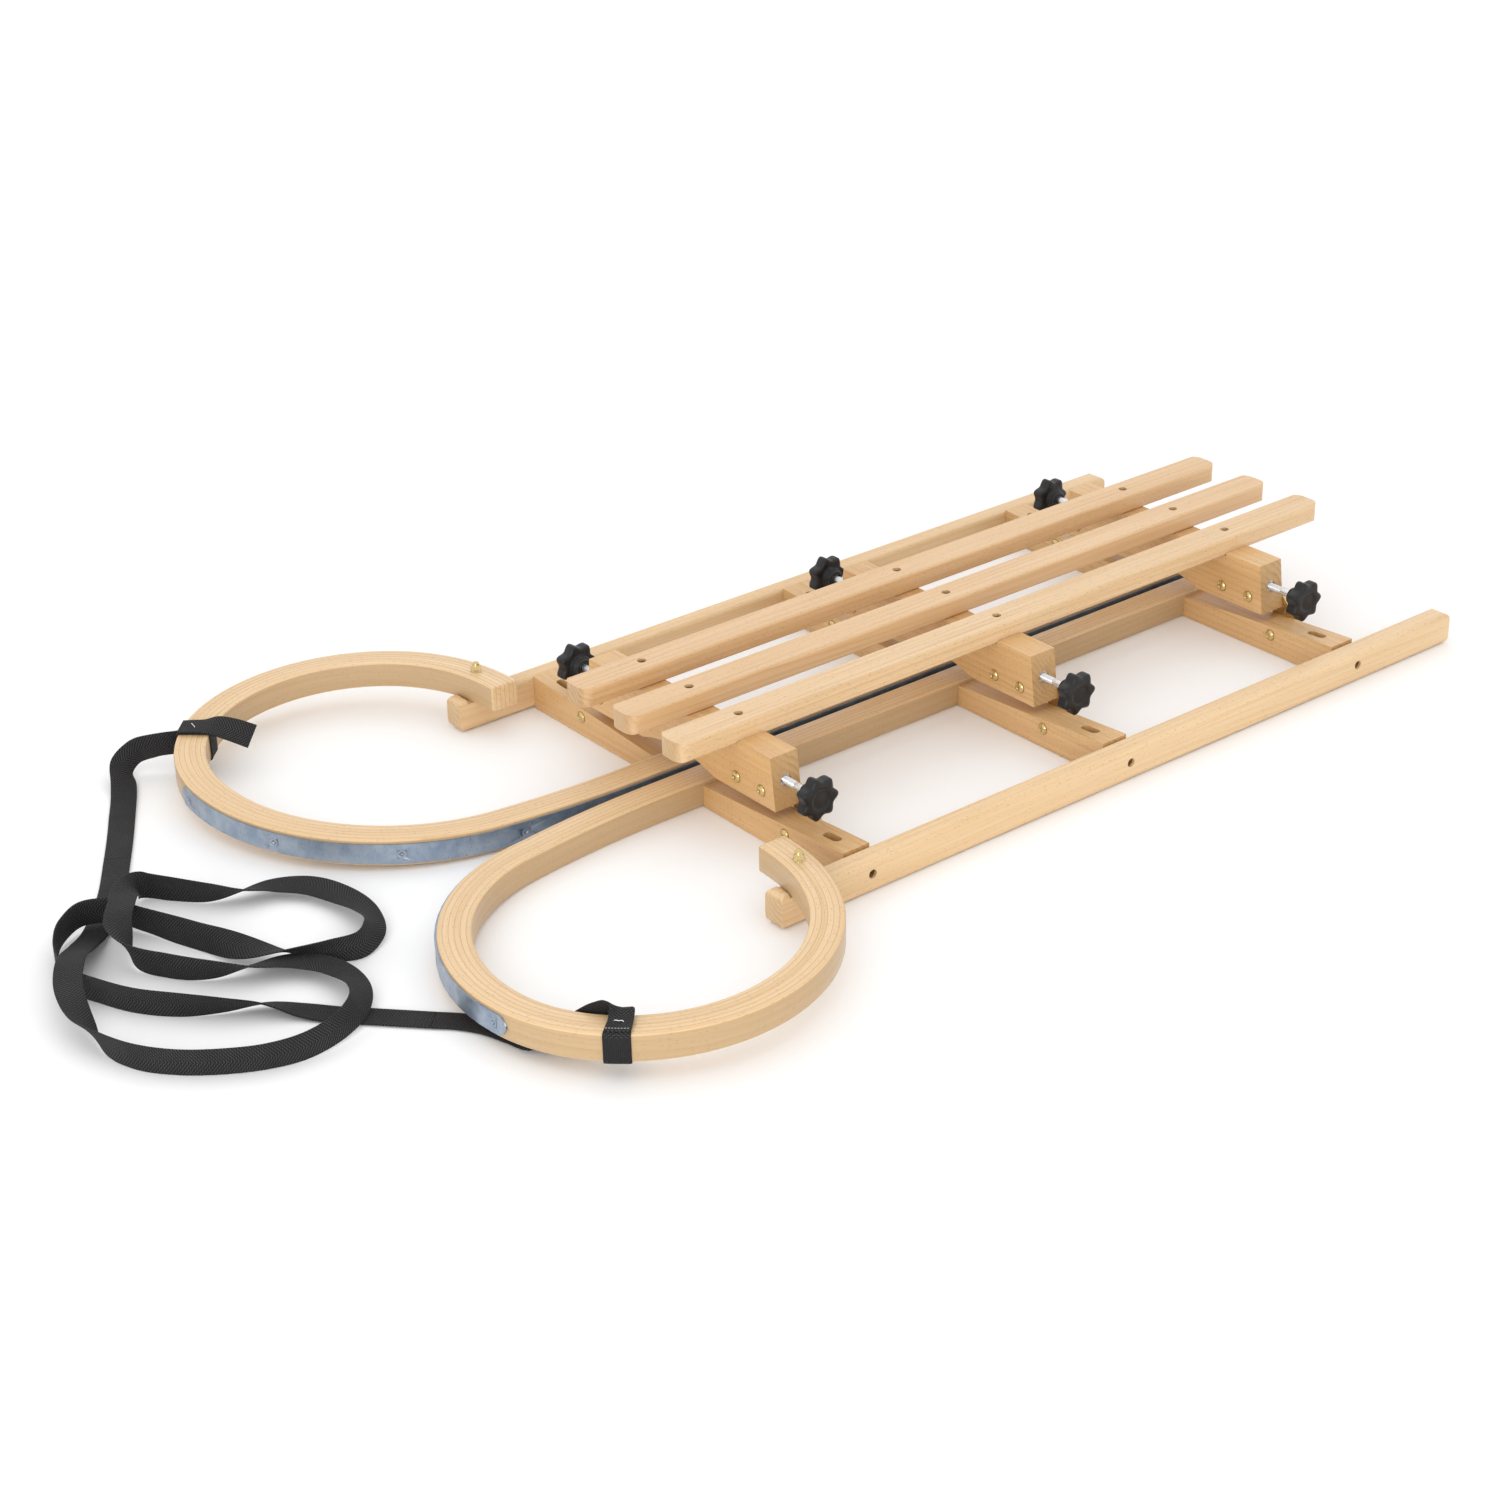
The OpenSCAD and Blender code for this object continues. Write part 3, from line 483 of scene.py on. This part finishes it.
def staple(name, side, z, turn):
    """A wire staple through the webbing: two legs and a crown 8 mm long at height z, turned on
    the horn by an angle in degrees."""
    c, s = math.cos(math.radians(turn)), math.sin(math.radians(turn))
    shape = HALF_STAPLE + [(-x, h) for x, h in HALF_STAPLE[-2::-1]]
    points = [[x * c, STAPLE_OFF + x * s, z + h] for x, h in shape]
    return wire(name, on_runner_line(points, side), STAPLE_WIRE)


def stitches(name, side, off, z):
    """A row of stitches across the webbing: each is a short lens of thread, thickest halfway, and
    they are one mesh of equal tubes."""
    rows, columns = 7, 8
    t = np.linspace(0, math.pi, rows)[None, :, None]
    a = np.linspace(0, 2 * math.pi, columns, endpoint=False)
    middles = (np.arange(STITCHES) - (STITCHES - 1) / 2) * STITCH_PITCH
    along = middles[:, None, None] - 0.85 * np.cos(t)
    thick = 0.12 + 0.26 * np.sin(t)
    points = np.stack(
        np.broadcast_arrays(along, off + thick * np.cos(a), z + thick * np.sin(a)), -1
    )
    size = rows * columns
    one = grid_faces(rows, columns, around=True).tolist()
    one += [list(range(columns))[::-1], list(range(size - columns, size))]
    faces = [[v + size * k for v in face] for k in range(STITCHES) for face in one]
    return make_piece(name, on_runner_line(points, side), faces)


staples = {
    "left": staple("staple_left", -1.0, 32.0, 38),
    "right": staple("staple_right", 1.0, 31.9, 5),
}
seam = stitches("strap_stitches", 1.0, 11.5, 30.75)

FRAMES = {"left": "side_frame_left", "right": "side_frame_right"}
lead_left, lead_left_line = strap["strap_lead_left"]
loops, loops_line = strap["strap_loops"]
for piece, side in ((wraps["left"], "left"), (wraps["right"], "right"), (tail, "left")):
    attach(piece, FRAMES[side])
    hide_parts("strap_wrap_" + side)
for side, piece in staples.items():
    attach(piece, FRAMES[side])
    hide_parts("strap_staple_" + side)
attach(seam, FRAMES["right"])
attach(loops, "seat_frame")
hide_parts("pull_strap")
# Each lead follows its horn at one end and the seat frame where it lies on the ground
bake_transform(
    lead_left, FRAMES["left"], "seat_frame", tuple(lead_left_line[6]), tuple(lead_left_line[-4])
)
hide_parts("pull_strap")
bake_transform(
    lead_right, FRAMES["right"], "seat_frame", tuple(lead_right_hold), tuple(lead_right_line[3])
)
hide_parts("strap_wrap_right")


# ---- Runners --------------------------------------------------------------------------


def runner(name, side):
    """A bent bar with eased arrises. At both ends the section shrinks over the last 2 mm as a
    quarter circle does: the inset is e (1 - sin a) at distance e (1 - cos a) from the end."""
    ease = 2 * MM
    turn = np.linspace(0, math.pi / 2, 5)
    inward, inset = ease * (1 - np.cos(turn)), ease * (1 - np.sin(turn))
    straight = np.linspace(RUNNER_BACK + ease, 0, 12)[1:]
    bent = np.linspace(0, BEND_LENGTH - ease, 150)[1:-1]
    s = np.concatenate([RUNNER_BACK + inward, straight, bent, (BEND_LENGTH - inward)[::-1]])
    shrink = np.concatenate([inset, np.zeros(len(straight) + len(bent)), inset[::-1]])
    full = rounded_box_outline(RUNNER_WIDTH, RUNNER_HEIGHT, 2.6 * MM, 5)
    half = np.array([RUNNER_WIDTH, RUNNER_HEIGHT]) / 2
    outlines = full[None] * (1 - shrink[:, None, None] / half) + [0, RUNNER_HEIGHT / 2]
    return swept(name, s, outlines, side)


runners = {side: runner("runner_" + side + "_bent", g) for side, g in SIDES}
for side, piece in runners.items():
    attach(piece, FRAMES[side])
    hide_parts("runner_" + side)

# ---- Knobs and studs ------------------------------------------------------------------

# Distance out from the knob's hub, radius, and how far the lobes shape it
KNOB_PROFILE = np.array([
    [9.0, 0.4, 0], [9.0, 4.05, 0], [0, 4.05, 0], [0, 8.0, 0], [0.25, 8.6, 0], [0.8, 8.8, 0],
    [2.8, 8.8, 0], [3.2, 10.0, 0], [3.8, 10.8, 0], [4.6, 11.0, 0], [8.2, 11.0, 0], [8.8, 11.6, 0.1],
    [9.1, 13.0, 0.4], [9.25, 16.5, 0.8], [9.5, 19.2, 1], [10.2, 20.9, 1], [11.2, 21.7, 1],
    [12.4, 22.0, 1], [16, 22.0, 1], [19.6, 22.0, 1], [20.8, 21.7, 1], [21.8, 20.9, 1],
    [22.5, 19.4, 1], [22.8, 17.5, 0.9], [22.95, 15.0, 0.55], [22.9, 12.0, 0.2], [22.6, 10.2, 0],
    [21.9, 9.4, 0], [21.7, 8.6, 0], [21.8, 6.0, 0], [22.1, 3.0, 0], [22.2, 0.4, 0],
])
LOBES = 7
VALLEY_DEPTH = 0.205


def lathe(name, axial, radius, node, side, columns):
    """A turned shape about the stud's axis through node: x is the distance out from the middle,
    and the circle's directions are +Y and the outward axis crossed with it. axial and radius
    hold a value for each ring and column."""
    centre = middle_of(node)
    a = np.linspace(0, 2 * math.pi, columns, endpoint=False)[None, :]
    rings = np.broadcast_arrays(
        side * axial, centre[1] + radius * np.cos(a), centre[2] + side * radius * np.sin(a)
    )
    return tube(name, np.stack(rings, -1))


def star_knob(row, side, g):
    """A seven-lobed knob: the profile's radius loses a fifth in the valleys, by
    (1 - cos 7a) / 2 raised to 0.8, times the lobes' share there."""
    node = f"star_knob_{row}_{side}"
    start = min(abs(corner[0]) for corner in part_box(node))
    out, profile, share = KNOB_PROFILE.T[:, :, None]
    columns = 16 * LOBES
    a = np.linspace(0, 2 * math.pi, columns, endpoint=False)[None, :]
    valley = ((1 - np.cos(LOBES * a)) / 2) ** 0.8
    radius = profile * (1 - VALLEY_DEPTH * share * valley) * MM
    piece = lathe(f"knob_{row}_{side}_grip", start + out * MM, radius, node, g, columns)
    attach(piece, f"knob_{row}_{side}")
    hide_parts(node)
    return piece


STUD_RADIUS = 4 * MM
THREAD_PITCH = 1.25 * MM
THREAD_DEPTH = 0.62 * MM
# The thread reaches 16 mm beyond the 20 mm that the insert holds
THREAD_LENGTH = (20 + 16) * MM


def stud(row, side, g):
    """A stud with a screw thread up to a plain stretch under the knob. The radius follows
    r - d (1 - |2 f - 1|), where f is the fraction of (x / pitch - a / 2 pi)."""
    node = f"knob_stud_{row}_{side}"
    low, high = sorted(abs(corner[0]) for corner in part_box(node))
    plain = low + THREAD_LENGTH
    threaded = np.arange(low, plain, THREAD_PITCH / 8)
    x = np.concatenate([threaded, np.linspace(plain, high, 6)])[:, None]
    columns = 20
    a = np.linspace(0, 2 * math.pi, columns, endpoint=False)[None, :]
    f = np.mod(x / THREAD_PITCH - a / (2 * math.pi), 1)
    depth = THREAD_DEPTH * (x < plain - THREAD_PITCH)
    radius = STUD_RADIUS - depth * (1 - np.abs(2 * f - 1))
    piece = lathe(f"stud_{row}_{side}_thread", x, radius, node, g, columns)
    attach(piece, f"stud_{row}_{side}")
    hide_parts(node)
    return piece


knobs = [star_knob(row, side, g) for row in ROWS for side, g in SIDES]
studs = [stud(row, side, g) for row in ROWS for side, g in SIDES]

# ---- Eased copies of the plain pieces -------------------------------------------------

SLOTS = {part["node"]: part["material_slot"] for part in frame["record"]["subparts"]}


def eased(node, width):
    """A copy of a CAD node with its doubles merged, shaded smoothly across turns of less than
    32 degrees. With a width, its flat faces are joined and its sharper edges get arrises of that
    width in millimetres. It replaces the node."""
    source = frame["nodes"][node]
    mesh = source.data.copy()
    piece = bpy.data.objects.new(node + "_eased", mesh)
    bpy.context.collection.objects.link(piece)
    work = bmesh.new()
    work.from_mesh(mesh)
    bmesh.ops.remove_doubles(work, verts=work.verts, dist=2e-6)
    if width:
        bmesh.ops.dissolve_limit(
            work, angle_limit=math.radians(0.6), verts=work.verts, edges=work.edges
        )
    work.to_mesh(mesh)
    work.free()
    mesh.polygons.foreach_set("use_smooth", np.ones(len(mesh.polygons), bool))
    mesh.set_sharp_from_angle(angle=math.radians(32))
    if width:
        bevel = piece.modifiers.new("arris", "BEVEL")
        bevel.width = width * MM
        bevel.segments = 2
        bevel.limit_method = "ANGLE"
        bevel.angle_limit = math.radians(40)
        bevel.use_clamp_overlap = True
        bevel.harden_normals = True
    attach(piece, body_of(source)[0])
    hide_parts(node)
    return piece


# Each plain node with the width of its arrises in millimetres; 0 keeps its edges as they are
ARRISES = [(f"crossbeam_{row}", 1.3) for row in ROWS]
ARRISES += [(f"post_{row}_{side}", 1.1) for row in ROWS for side, _ in SIDES]
ARRISES += [(f"hinge_plate_{row}_{side}", 0.5) for row in ROWS for side, _ in SIDES]
ARRISES += [(f"side_rail_{side}", 1.6) for side, _ in SIDES]
ARRISES += [(f"seat_slat_{place}", 1.5) for place in ("left", "middle", "right")]
ARRISES += [("beam_nuts", 0.35)]
ARRISES += [(f"pivot_nuts_{side}", 0.35) for side, _ in SIDES]
ARRISES += [("beam_bolts", 0.0)]
ARRISES += [(f"{kind}_{side}", 0.0)
            for kind in ("steel_strip", "pivot_bolts", "horn_bolt", "strip_screws")
            for side, _ in SIDES]
for node, width in ARRISES:
    eased(node, width)

# ---- Finishes -------------------------------------------------------------------------


class Finish:
    """A material under construction: add makes a node, and its values or links in one call."""

    def __init__(self, name, colour, roughness, metallic=0.0):
        self.material = bpy.data.materials.new(name)
        self.material.use_nodes = True
        self.tree = self.material.node_tree
        self.shader = self.tree.nodes["Principled BSDF"]
        self.set("Base Color", (*colour, 1.0))
        self.set("Roughness", roughness)
        self.set("Metallic", metallic)

    def set(self, socket, value):
        """Set a socket of the shader, or link it."""
        if isinstance(value, bpy.types.NodeSocket):
            self.tree.links.new(value, self.shader.inputs[socket])
        else:
            self.shader.inputs[socket].default_value = value

    def add(self, kind, inputs, output=0, **settings):
        """Make a node with its settings and inputs, and return one output."""
        node = self.tree.nodes.new("ShaderNode" + kind)
        for key, value in settings.items():
            setattr(node, key, value)
        for key, value in inputs.items():
            if isinstance(value, bpy.types.NodeSocket):
                self.tree.links.new(value, node.inputs[key])
            else:
                node.inputs[key].default_value = value
        return node.outputs[output]

    def math(self, operation, a, b=0.0):
        """One step of arithmetic on two values."""
        return self.add("Math", {0: a, 1: b}, operation=operation)

    def scaled(self, vector, scale):
        """Stretch a place by a factor on each axis."""
        return self.add("Mapping", {"Vector": vector, "Scale": scale})

    def noise(self, vector, detail=3.0, roughness=0.55):
        """Cloudy noise, one cloud to a unit of the place."""
        return self.add(
            "TexNoise", {"Vector": vector, "Scale": 1.0, "Detail": detail, "Roughness": roughness}
        )

    def spread(self, value, low, high, to_low=0.0, to_high=1.0):
        """Stretch a value between two limits, held at its ends."""
        limits = {"From Min": low, "From Max": high, "To Min": to_low, "To Max": to_high}
        return self.add("MapRange", {"Value": value, **limits})

    def mix(self, amount, a, b):
        """A colour between two, each a socket or three numbers."""
        ends = [v if isinstance(v, bpy.types.NodeSocket) else (*v, 1.0) for v in (a, b)]
        return self.add("Mix", {0: amount, 6: ends[0], 7: ends[1]}, output=2, data_type="RGBA")

    def bump(self, height, strength, distance):
        """Relief from a height, in metres of distance."""
        relief = {"Height": height, "Strength": strength, "Distance": distance}
        self.set("Normal", self.add("Bump", relief))

    def here(self, output="Object"):
        """The place on the object, in metres."""
        return self.add("TexCoord", {}, output=output)

    def pattern(self):
        """The place that the mesh itself carries."""
        return self.add("Attribute", {}, output="Vector", attribute_name="pattern")


LAYERS = 6


def beech(name, pale, warm, axis, laminated=False):
    """Lacquered beech: slow changes of tone, fine streaks along the grain, faint growth rings and
    short dark flecks. The grain runs along one axis, or along the bar where it is laminated, in
    six layers with a fine line between them."""
    f = Finish(name, pale, 0.36)
    where = f.pattern() if laminated else f.here()
    if laminated:
        # The grain of each layer is moved along and up from its neighbour's
        off = f.add("SeparateXYZ", {"Vector": where}, output=1)
        level = f.math("MULTIPLY", f.math("ADD", off, RUNNER_WIDTH / 2), LAYERS / RUNNER_WIDTH)
        layer = f.math("FLOOR", level)
        line = f.spread(f.math("PINGPONG", level, 0.5), 0.03, 0.085, 1.0, 0.0)
        shift = f.add("CombineXYZ", {0: f.math("MULTIPLY", layer, 0.613), 1: 0.0,
                                     2: f.math("MULTIPLY", layer, 0.171)})
        where = f.add("VectorMath", {0: where, 1: shift}, operation="ADD")

    def along(grain, across):
        scale = [across] * 3
        scale[axis] = grain
        return f.scaled(where, scale)

    broad = f.noise(along(1.8, 16), 2.0)
    streak = f.noise(along(6, 300), 4.0, 0.62)
    # Growth rings: bands of even distance from a far, slowly wandering pith
    bend = f.add("VectorMath", {0: along(1.3, 22), 1: (0.45, 0.2, 0.3)}, operation="ADD")
    wander = f.add("TexNoise", {"Vector": bend, "Scale": 1.0, "Detail": 1.0}, output="Color")
    wander = f.add("VectorMath", {0: wander, 3: 0.55}, operation="SCALE")
    bands = f.add("VectorMath", {0: along(0.6, 30), 1: wander}, operation="ADD")
    rings = f.add(
        "TexWave", {"Vector": bands, "Scale": 2.6, "Distortion": 3.2, "Detail": 2.0,
                    "Detail Scale": 1.6}, bands_direction="DIAGONAL", wave_profile="SAW",
    )
    # Flecks: a little over a third of the cells of a long net, dark near their middles
    net = {"Vector": along(170, 850), "Scale": 1.0, "Randomness": 1.0}
    near = f.add("TexVoronoi", net, output="Distance")
    chosen = f.add("TexVoronoi", net, output="Color")
    some = f.spread(f.add("SeparateColor", {"Color": chosen}), 0.52, 0.66)
    fleck = f.math("MULTIPLY", f.spread(near, 0.16, 0.34, 1.0, 0.0), some)
    tone = f.math("ADD", f.math("MULTIPLY", f.spread(broad, 0.32, 0.68), 0.5),
                  f.math("MULTIPLY", f.spread(streak, 0.3, 0.7), 0.5))
    colour = f.mix(tone, pale, warm)
    patchy = f.spread(f.noise(along(2.2, 26), 2.0), 0.38, 0.64, 0.12, 1.0)
    late = f.math("MULTIPLY", f.math("POWER", rings, 3.0), patchy)
    colour = f.mix(f.math("MULTIPLY", late, 0.5 if laminated else 0.46), colour,
                   [warm[0] * 0.80, warm[1] * 0.72, warm[2] * 0.60])
    colour = f.mix(f.math("MULTIPLY", fleck, 0.5), colour, [c * 0.42 for c in warm])
    if laminated:
        colour = f.mix(f.math("MULTIPLY", line, 0.55), colour, [c * 0.5 for c in warm])
    else:
        # End grain drinks more lacquer and is darker
        facing = f.add("SeparateXYZ", {"Vector": f.here("Normal")}, output=axis)
        end = f.spread(f.math("ABSOLUTE", facing), 0.7, 0.95)
        colour = f.mix(f.math("MULTIPLY", end, 0.42), colour, [c * 0.66 for c in warm])
        colour = f.mix(f.math("MULTIPLY", f.math("MULTIPLY", end, late), 0.5), colour,
                       [c * 0.45 for c in warm])
    f.set("Base Color", colour)
    f.set("Roughness", f.spread(streak, 0.3, 0.75, 0.30, 0.44))
    f.set("Coat Weight", 0.14)
    f.set("Coat Roughness", 0.3)
    height = f.math("SUBTRACT", f.math("MULTIPLY", streak, 0.5), f.math("MULTIPLY", fleck, 0.4))
    if laminated:
        height = f.math("SUBTRACT", height, line)
    f.bump(height, 0.3, 0.0004)
    return f.material


def zinc_steel(name, colour, tint, roughness, cell, contrast, metallic=0.92):
    """Plated steel: crystals or patches of a slightly different tone, with fine rubbed marks."""
    f = Finish(name, colour, roughness, metallic)
    where = f.here()
    patch = f.noise(f.scaled(where, (cell,) * 3), 3.0, 0.6)
    flake = f.add("TexVoronoi", {"Vector": f.scaled(where, (cell * 3.2,) * 3), "Scale": 1.0},
                  output="Color")
    flakes = f.add("SeparateColor", {"Color": flake})
    rub = f.noise(f.scaled(where, (900, 900, 260)), 2.0)
    tone = f.math("ADD", f.math("MULTIPLY", f.spread(patch, 0.32, 0.68), 0.7),
                  f.math("MULTIPLY", flakes, 0.3))
    f.set("Base Color", f.mix(f.math("MULTIPLY", tone, contrast), colour, tint))
    f.set("Roughness", f.spread(rub, 0.3, 0.7, roughness - 0.07, roughness + 0.1))
    f.bump(f.math("ADD", f.math("MULTIPLY", rub, 0.4), patch), 0.14, 0.0002)
    return f.material


def moulded_plastic():
    """Black nylon with a fine moulded grain."""
    f = Finish("black_nylon", (0.010, 0.010, 0.011), 0.42)
    f.set("Specular IOR Level", 0.36)
    where = f.here()
    grain = f.noise(f.scaled(where, (2600,) * 3), 2.0)
    cloud = f.noise(f.scaled(where, (60,) * 3), 3.0)
    shade = f.spread(cloud, 0.3, 0.7)
    f.set("Base Color", f.mix(shade, (0.006, 0.006, 0.007), (0.014, 0.014, 0.015)))
    f.set("Roughness", f.spread(cloud, 0.3, 0.7, 0.33, 0.46))
    f.bump(grain, 0.12, 0.00012)
    return f.material


def twill_webbing():
    """Black polyester webbing: slanting ribs of yarn that turn back at the middle, crossed by finer threads,
    from the place across and along the strap. The crests of the weave carry a painted highlight and its
    hollows painted shade."""
    f = Finish("black_webbing", (0.02, 0.02, 0.022), 0.72)
    where = f.pattern()
    across = f.add("SeparateXYZ", {"Vector": where}, output=0)
    along = f.add("SeparateXYZ", {"Vector": where}, output=1)
    slant = f.math("ADD", f.math("MULTIPLY", f.math("ABSOLUTE", across), 0.8), along)

    def ripple(place, pitch):
        """A sine wave of that pitch in metres."""
        return f.math("SINE", f.math("MULTIPLY", place, 2 * math.pi / pitch))

    rib, yarn, pick = ripple(slant, 3.0 * MM), ripple(across, 1.5 * MM), ripple(along, 2.0 * MM)
    weave = f.math("ADD", f.math("MULTIPLY", rib, 0.5),
                   f.math("ADD", f.math("MULTIPLY", yarn, 0.25), f.math("MULTIPLY", pick, 0.3)))
    fuzz = f.noise(f.scaled(f.here(), (1400,) * 3), 2.0)
    worn = f.noise(f.scaled(f.here(), (26,) * 3), 3.0)
    # The weave's crests are painted lighter as a highlight, and its hollows nearly black as painted shade;
    # the slow clouds vary that lighter tone at random
    tone = f.math("MULTIPLY", f.spread(weave, -0.35, 0.95), f.spread(fuzz, 0.25, 0.7, 0.35, 1.0))
    light = f.mix(f.spread(worn, 0.35, 0.7), (0.066, 0.062, 0.063), (0.100, 0.095, 0.096))
    f.set("Base Color", f.mix(tone, (0.0025, 0.0025, 0.003), light))
    f.set("Roughness", f.spread(fuzz, 0.3, 0.7, 0.66, 0.85))
    f.set("Specular IOR Level", 0.3)
    f.bump(f.math("ADD", weave, f.math("MULTIPLY", fuzz, 0.5)), 0.8, 0.0004)
    return f.material


def thread_finish():
    """Grey polyester thread."""
    f = Finish("seam_thread", (0.34, 0.33, 0.33), 0.7)
    twist = f.noise(f.scaled(f.here(), (3000,) * 3), 2.0)
    f.set("Base Color", f.mix(twist, (0.22, 0.21, 0.21), (0.46, 0.45, 0.44)))
    f.bump(twist, 0.3, 0.0001)
    return f.material


RAIL_TONES = (0.78, 0.57, 0.34), (0.66, 0.43, 0.21)
SEAT_BEECH = beech("beech_seat", (0.77, 0.56, 0.335), (0.62, 0.39, 0.185), 1)
BEAM_BEECH = beech("beech_beams", (0.75, 0.49, 0.24), (0.57, 0.33, 0.13), 0)
ROSY_BEECH = beech("beech_rosy", (0.745, 0.515, 0.30), (0.61, 0.375, 0.17), 1)
RAIL_BEECH = beech("beech_rails", *RAIL_TONES, 1)
RUNNER_BEECH = beech("beech_laminated", *RAIL_TONES, 0, laminated=True)
# The finish of each of the record's material slots
FINISHES = {
    "seat_wood": SEAT_BEECH,
    "beam_wood": BEAM_BEECH,
    "galvanised": zinc_steel(
        "galvanised_steel", (0.21, 0.27, 0.37), (0.45, 0.50, 0.54),
        roughness=0.34, cell=48, contrast=0.75, metallic=0.72,
    ),
    "yellow_zinc": zinc_steel(
        "yellow_zinc", (0.60, 0.43, 0.17), (0.68, 0.56, 0.32),
        roughness=0.22, cell=150, contrast=0.6,
    ),
    "bright_zinc": zinc_steel(
        "bright_zinc", (0.66, 0.67, 0.69), (0.78, 0.79, 0.81),
        roughness=0.26, cell=240, contrast=0.6,
    ),
    "knob_plastic": moulded_plastic(),
    "webbing": twill_webbing(),
}
# The screws in the wood: brass, painted darker for the shade in their wells
WOOD_SCREWS = zinc_steel(
    "brass_painted_well_shade", (0.16, 0.10, 0.035), (0.30, 0.20, 0.08), roughness=0.34, cell=200, contrast=0.7
)


def finish_of(node):
    """The finish of a piece that stands for a node, or of the node itself."""
    if node.startswith("side_rail"):
        return RAIL_BEECH
    if node in ("seat_slat_left", "seat_slat_middle"):
        return ROSY_BEECH
    if node.startswith("runner"):
        return RUNNER_BEECH
    if node.split("_")[0] in ("seat", "rail", "post") and "screws" in node:
        return WOOD_SCREWS
    return FINISHES[SLOTS[node]]


def dress(obj, material):
    """Give an object one material on every face."""
    obj.data.materials.clear()
    obj.data.materials.append(material)


for node, obj in frame["nodes"].items():
    dress(obj, finish_of(node))
for node, _ in ARRISES:
    dress(bpy.data.objects[node + "_eased"], finish_of(node))
for piece in runners.values():
    dress(piece, RUNNER_BEECH)
for piece in knobs:
    dress(piece, FINISHES["knob_plastic"])
for piece in studs + list(staples.values()):
    dress(piece, FINISHES["bright_zinc"])
for piece in (wraps["left"], wraps["right"], tail, lead_left, lead_right, loops):
    dress(piece, FINISHES["webbing"])
dress(seam, thread_finish())

# ---- Floor and light ------------------------------------------------------------------


FLOOR_HALF = 6.0
# The floor lies this little under the runners, so that the two don't coincide
FLOOR_Z = -0.0004
SKY_STRENGTH = 1.12
# Each soft lamp's place, width and power in watts, turned towards the middle
LAMPS = (("key", (-1.3, 0.6, 2.6), 1.6, 3.0), ("front", (1.9, -2.3, 0.7), 1.6, 24.0))


def stage():
    """A white floor under an even white sky, with a weak lamp above and a stronger one low in
    front, to the right."""
    n = 5
    u = np.linspace(-FLOOR_HALF, FLOOR_HALF, n)
    grid = np.stack(np.meshgrid(u, u, [FLOOR_Z], indexing="ij"), -1).reshape(-1, 3)
    mesh = bpy.data.meshes.new("floor")
    mesh.from_pydata(grid.tolist(), [], grid_faces(n, n).tolist())
    floor = bpy.data.objects.new("floor", mesh)
    bpy.context.collection.objects.link(floor)
    f = Finish("white_paper", (0.93, 0.93, 0.93), 0.9)
    speck = f.noise(f.scaled(f.here(), (300,) * 3), 2.0)
    f.set("Base Color", f.mix(speck, (0.92, 0.92, 0.92), (0.94, 0.94, 0.94)))
    dress(floor, f.material)
    world = bpy.data.worlds.new("white_sky")
    world.use_nodes = True
    sky = world.node_tree.nodes["Background"].inputs
    sky["Color"].default_value = (1, 1, 1, 1)
    sky["Strength"].default_value = SKY_STRENGTH
    bpy.context.scene.world = world
    for name, spot, size, power in LAMPS:
        lamp = bpy.data.lights.new(name, "AREA")
        lamp.size = size
        lamp.energy = power
        holder = bpy.data.objects.new(name, lamp)
        holder.location = spot
        holder.rotation_euler = (-Vector(spot)).to_track_quat("-Z", "Y").to_euler()
        bpy.context.collection.objects.link(holder)
    bpy.context.scene.view_settings.view_transform = "Standard"


stage()
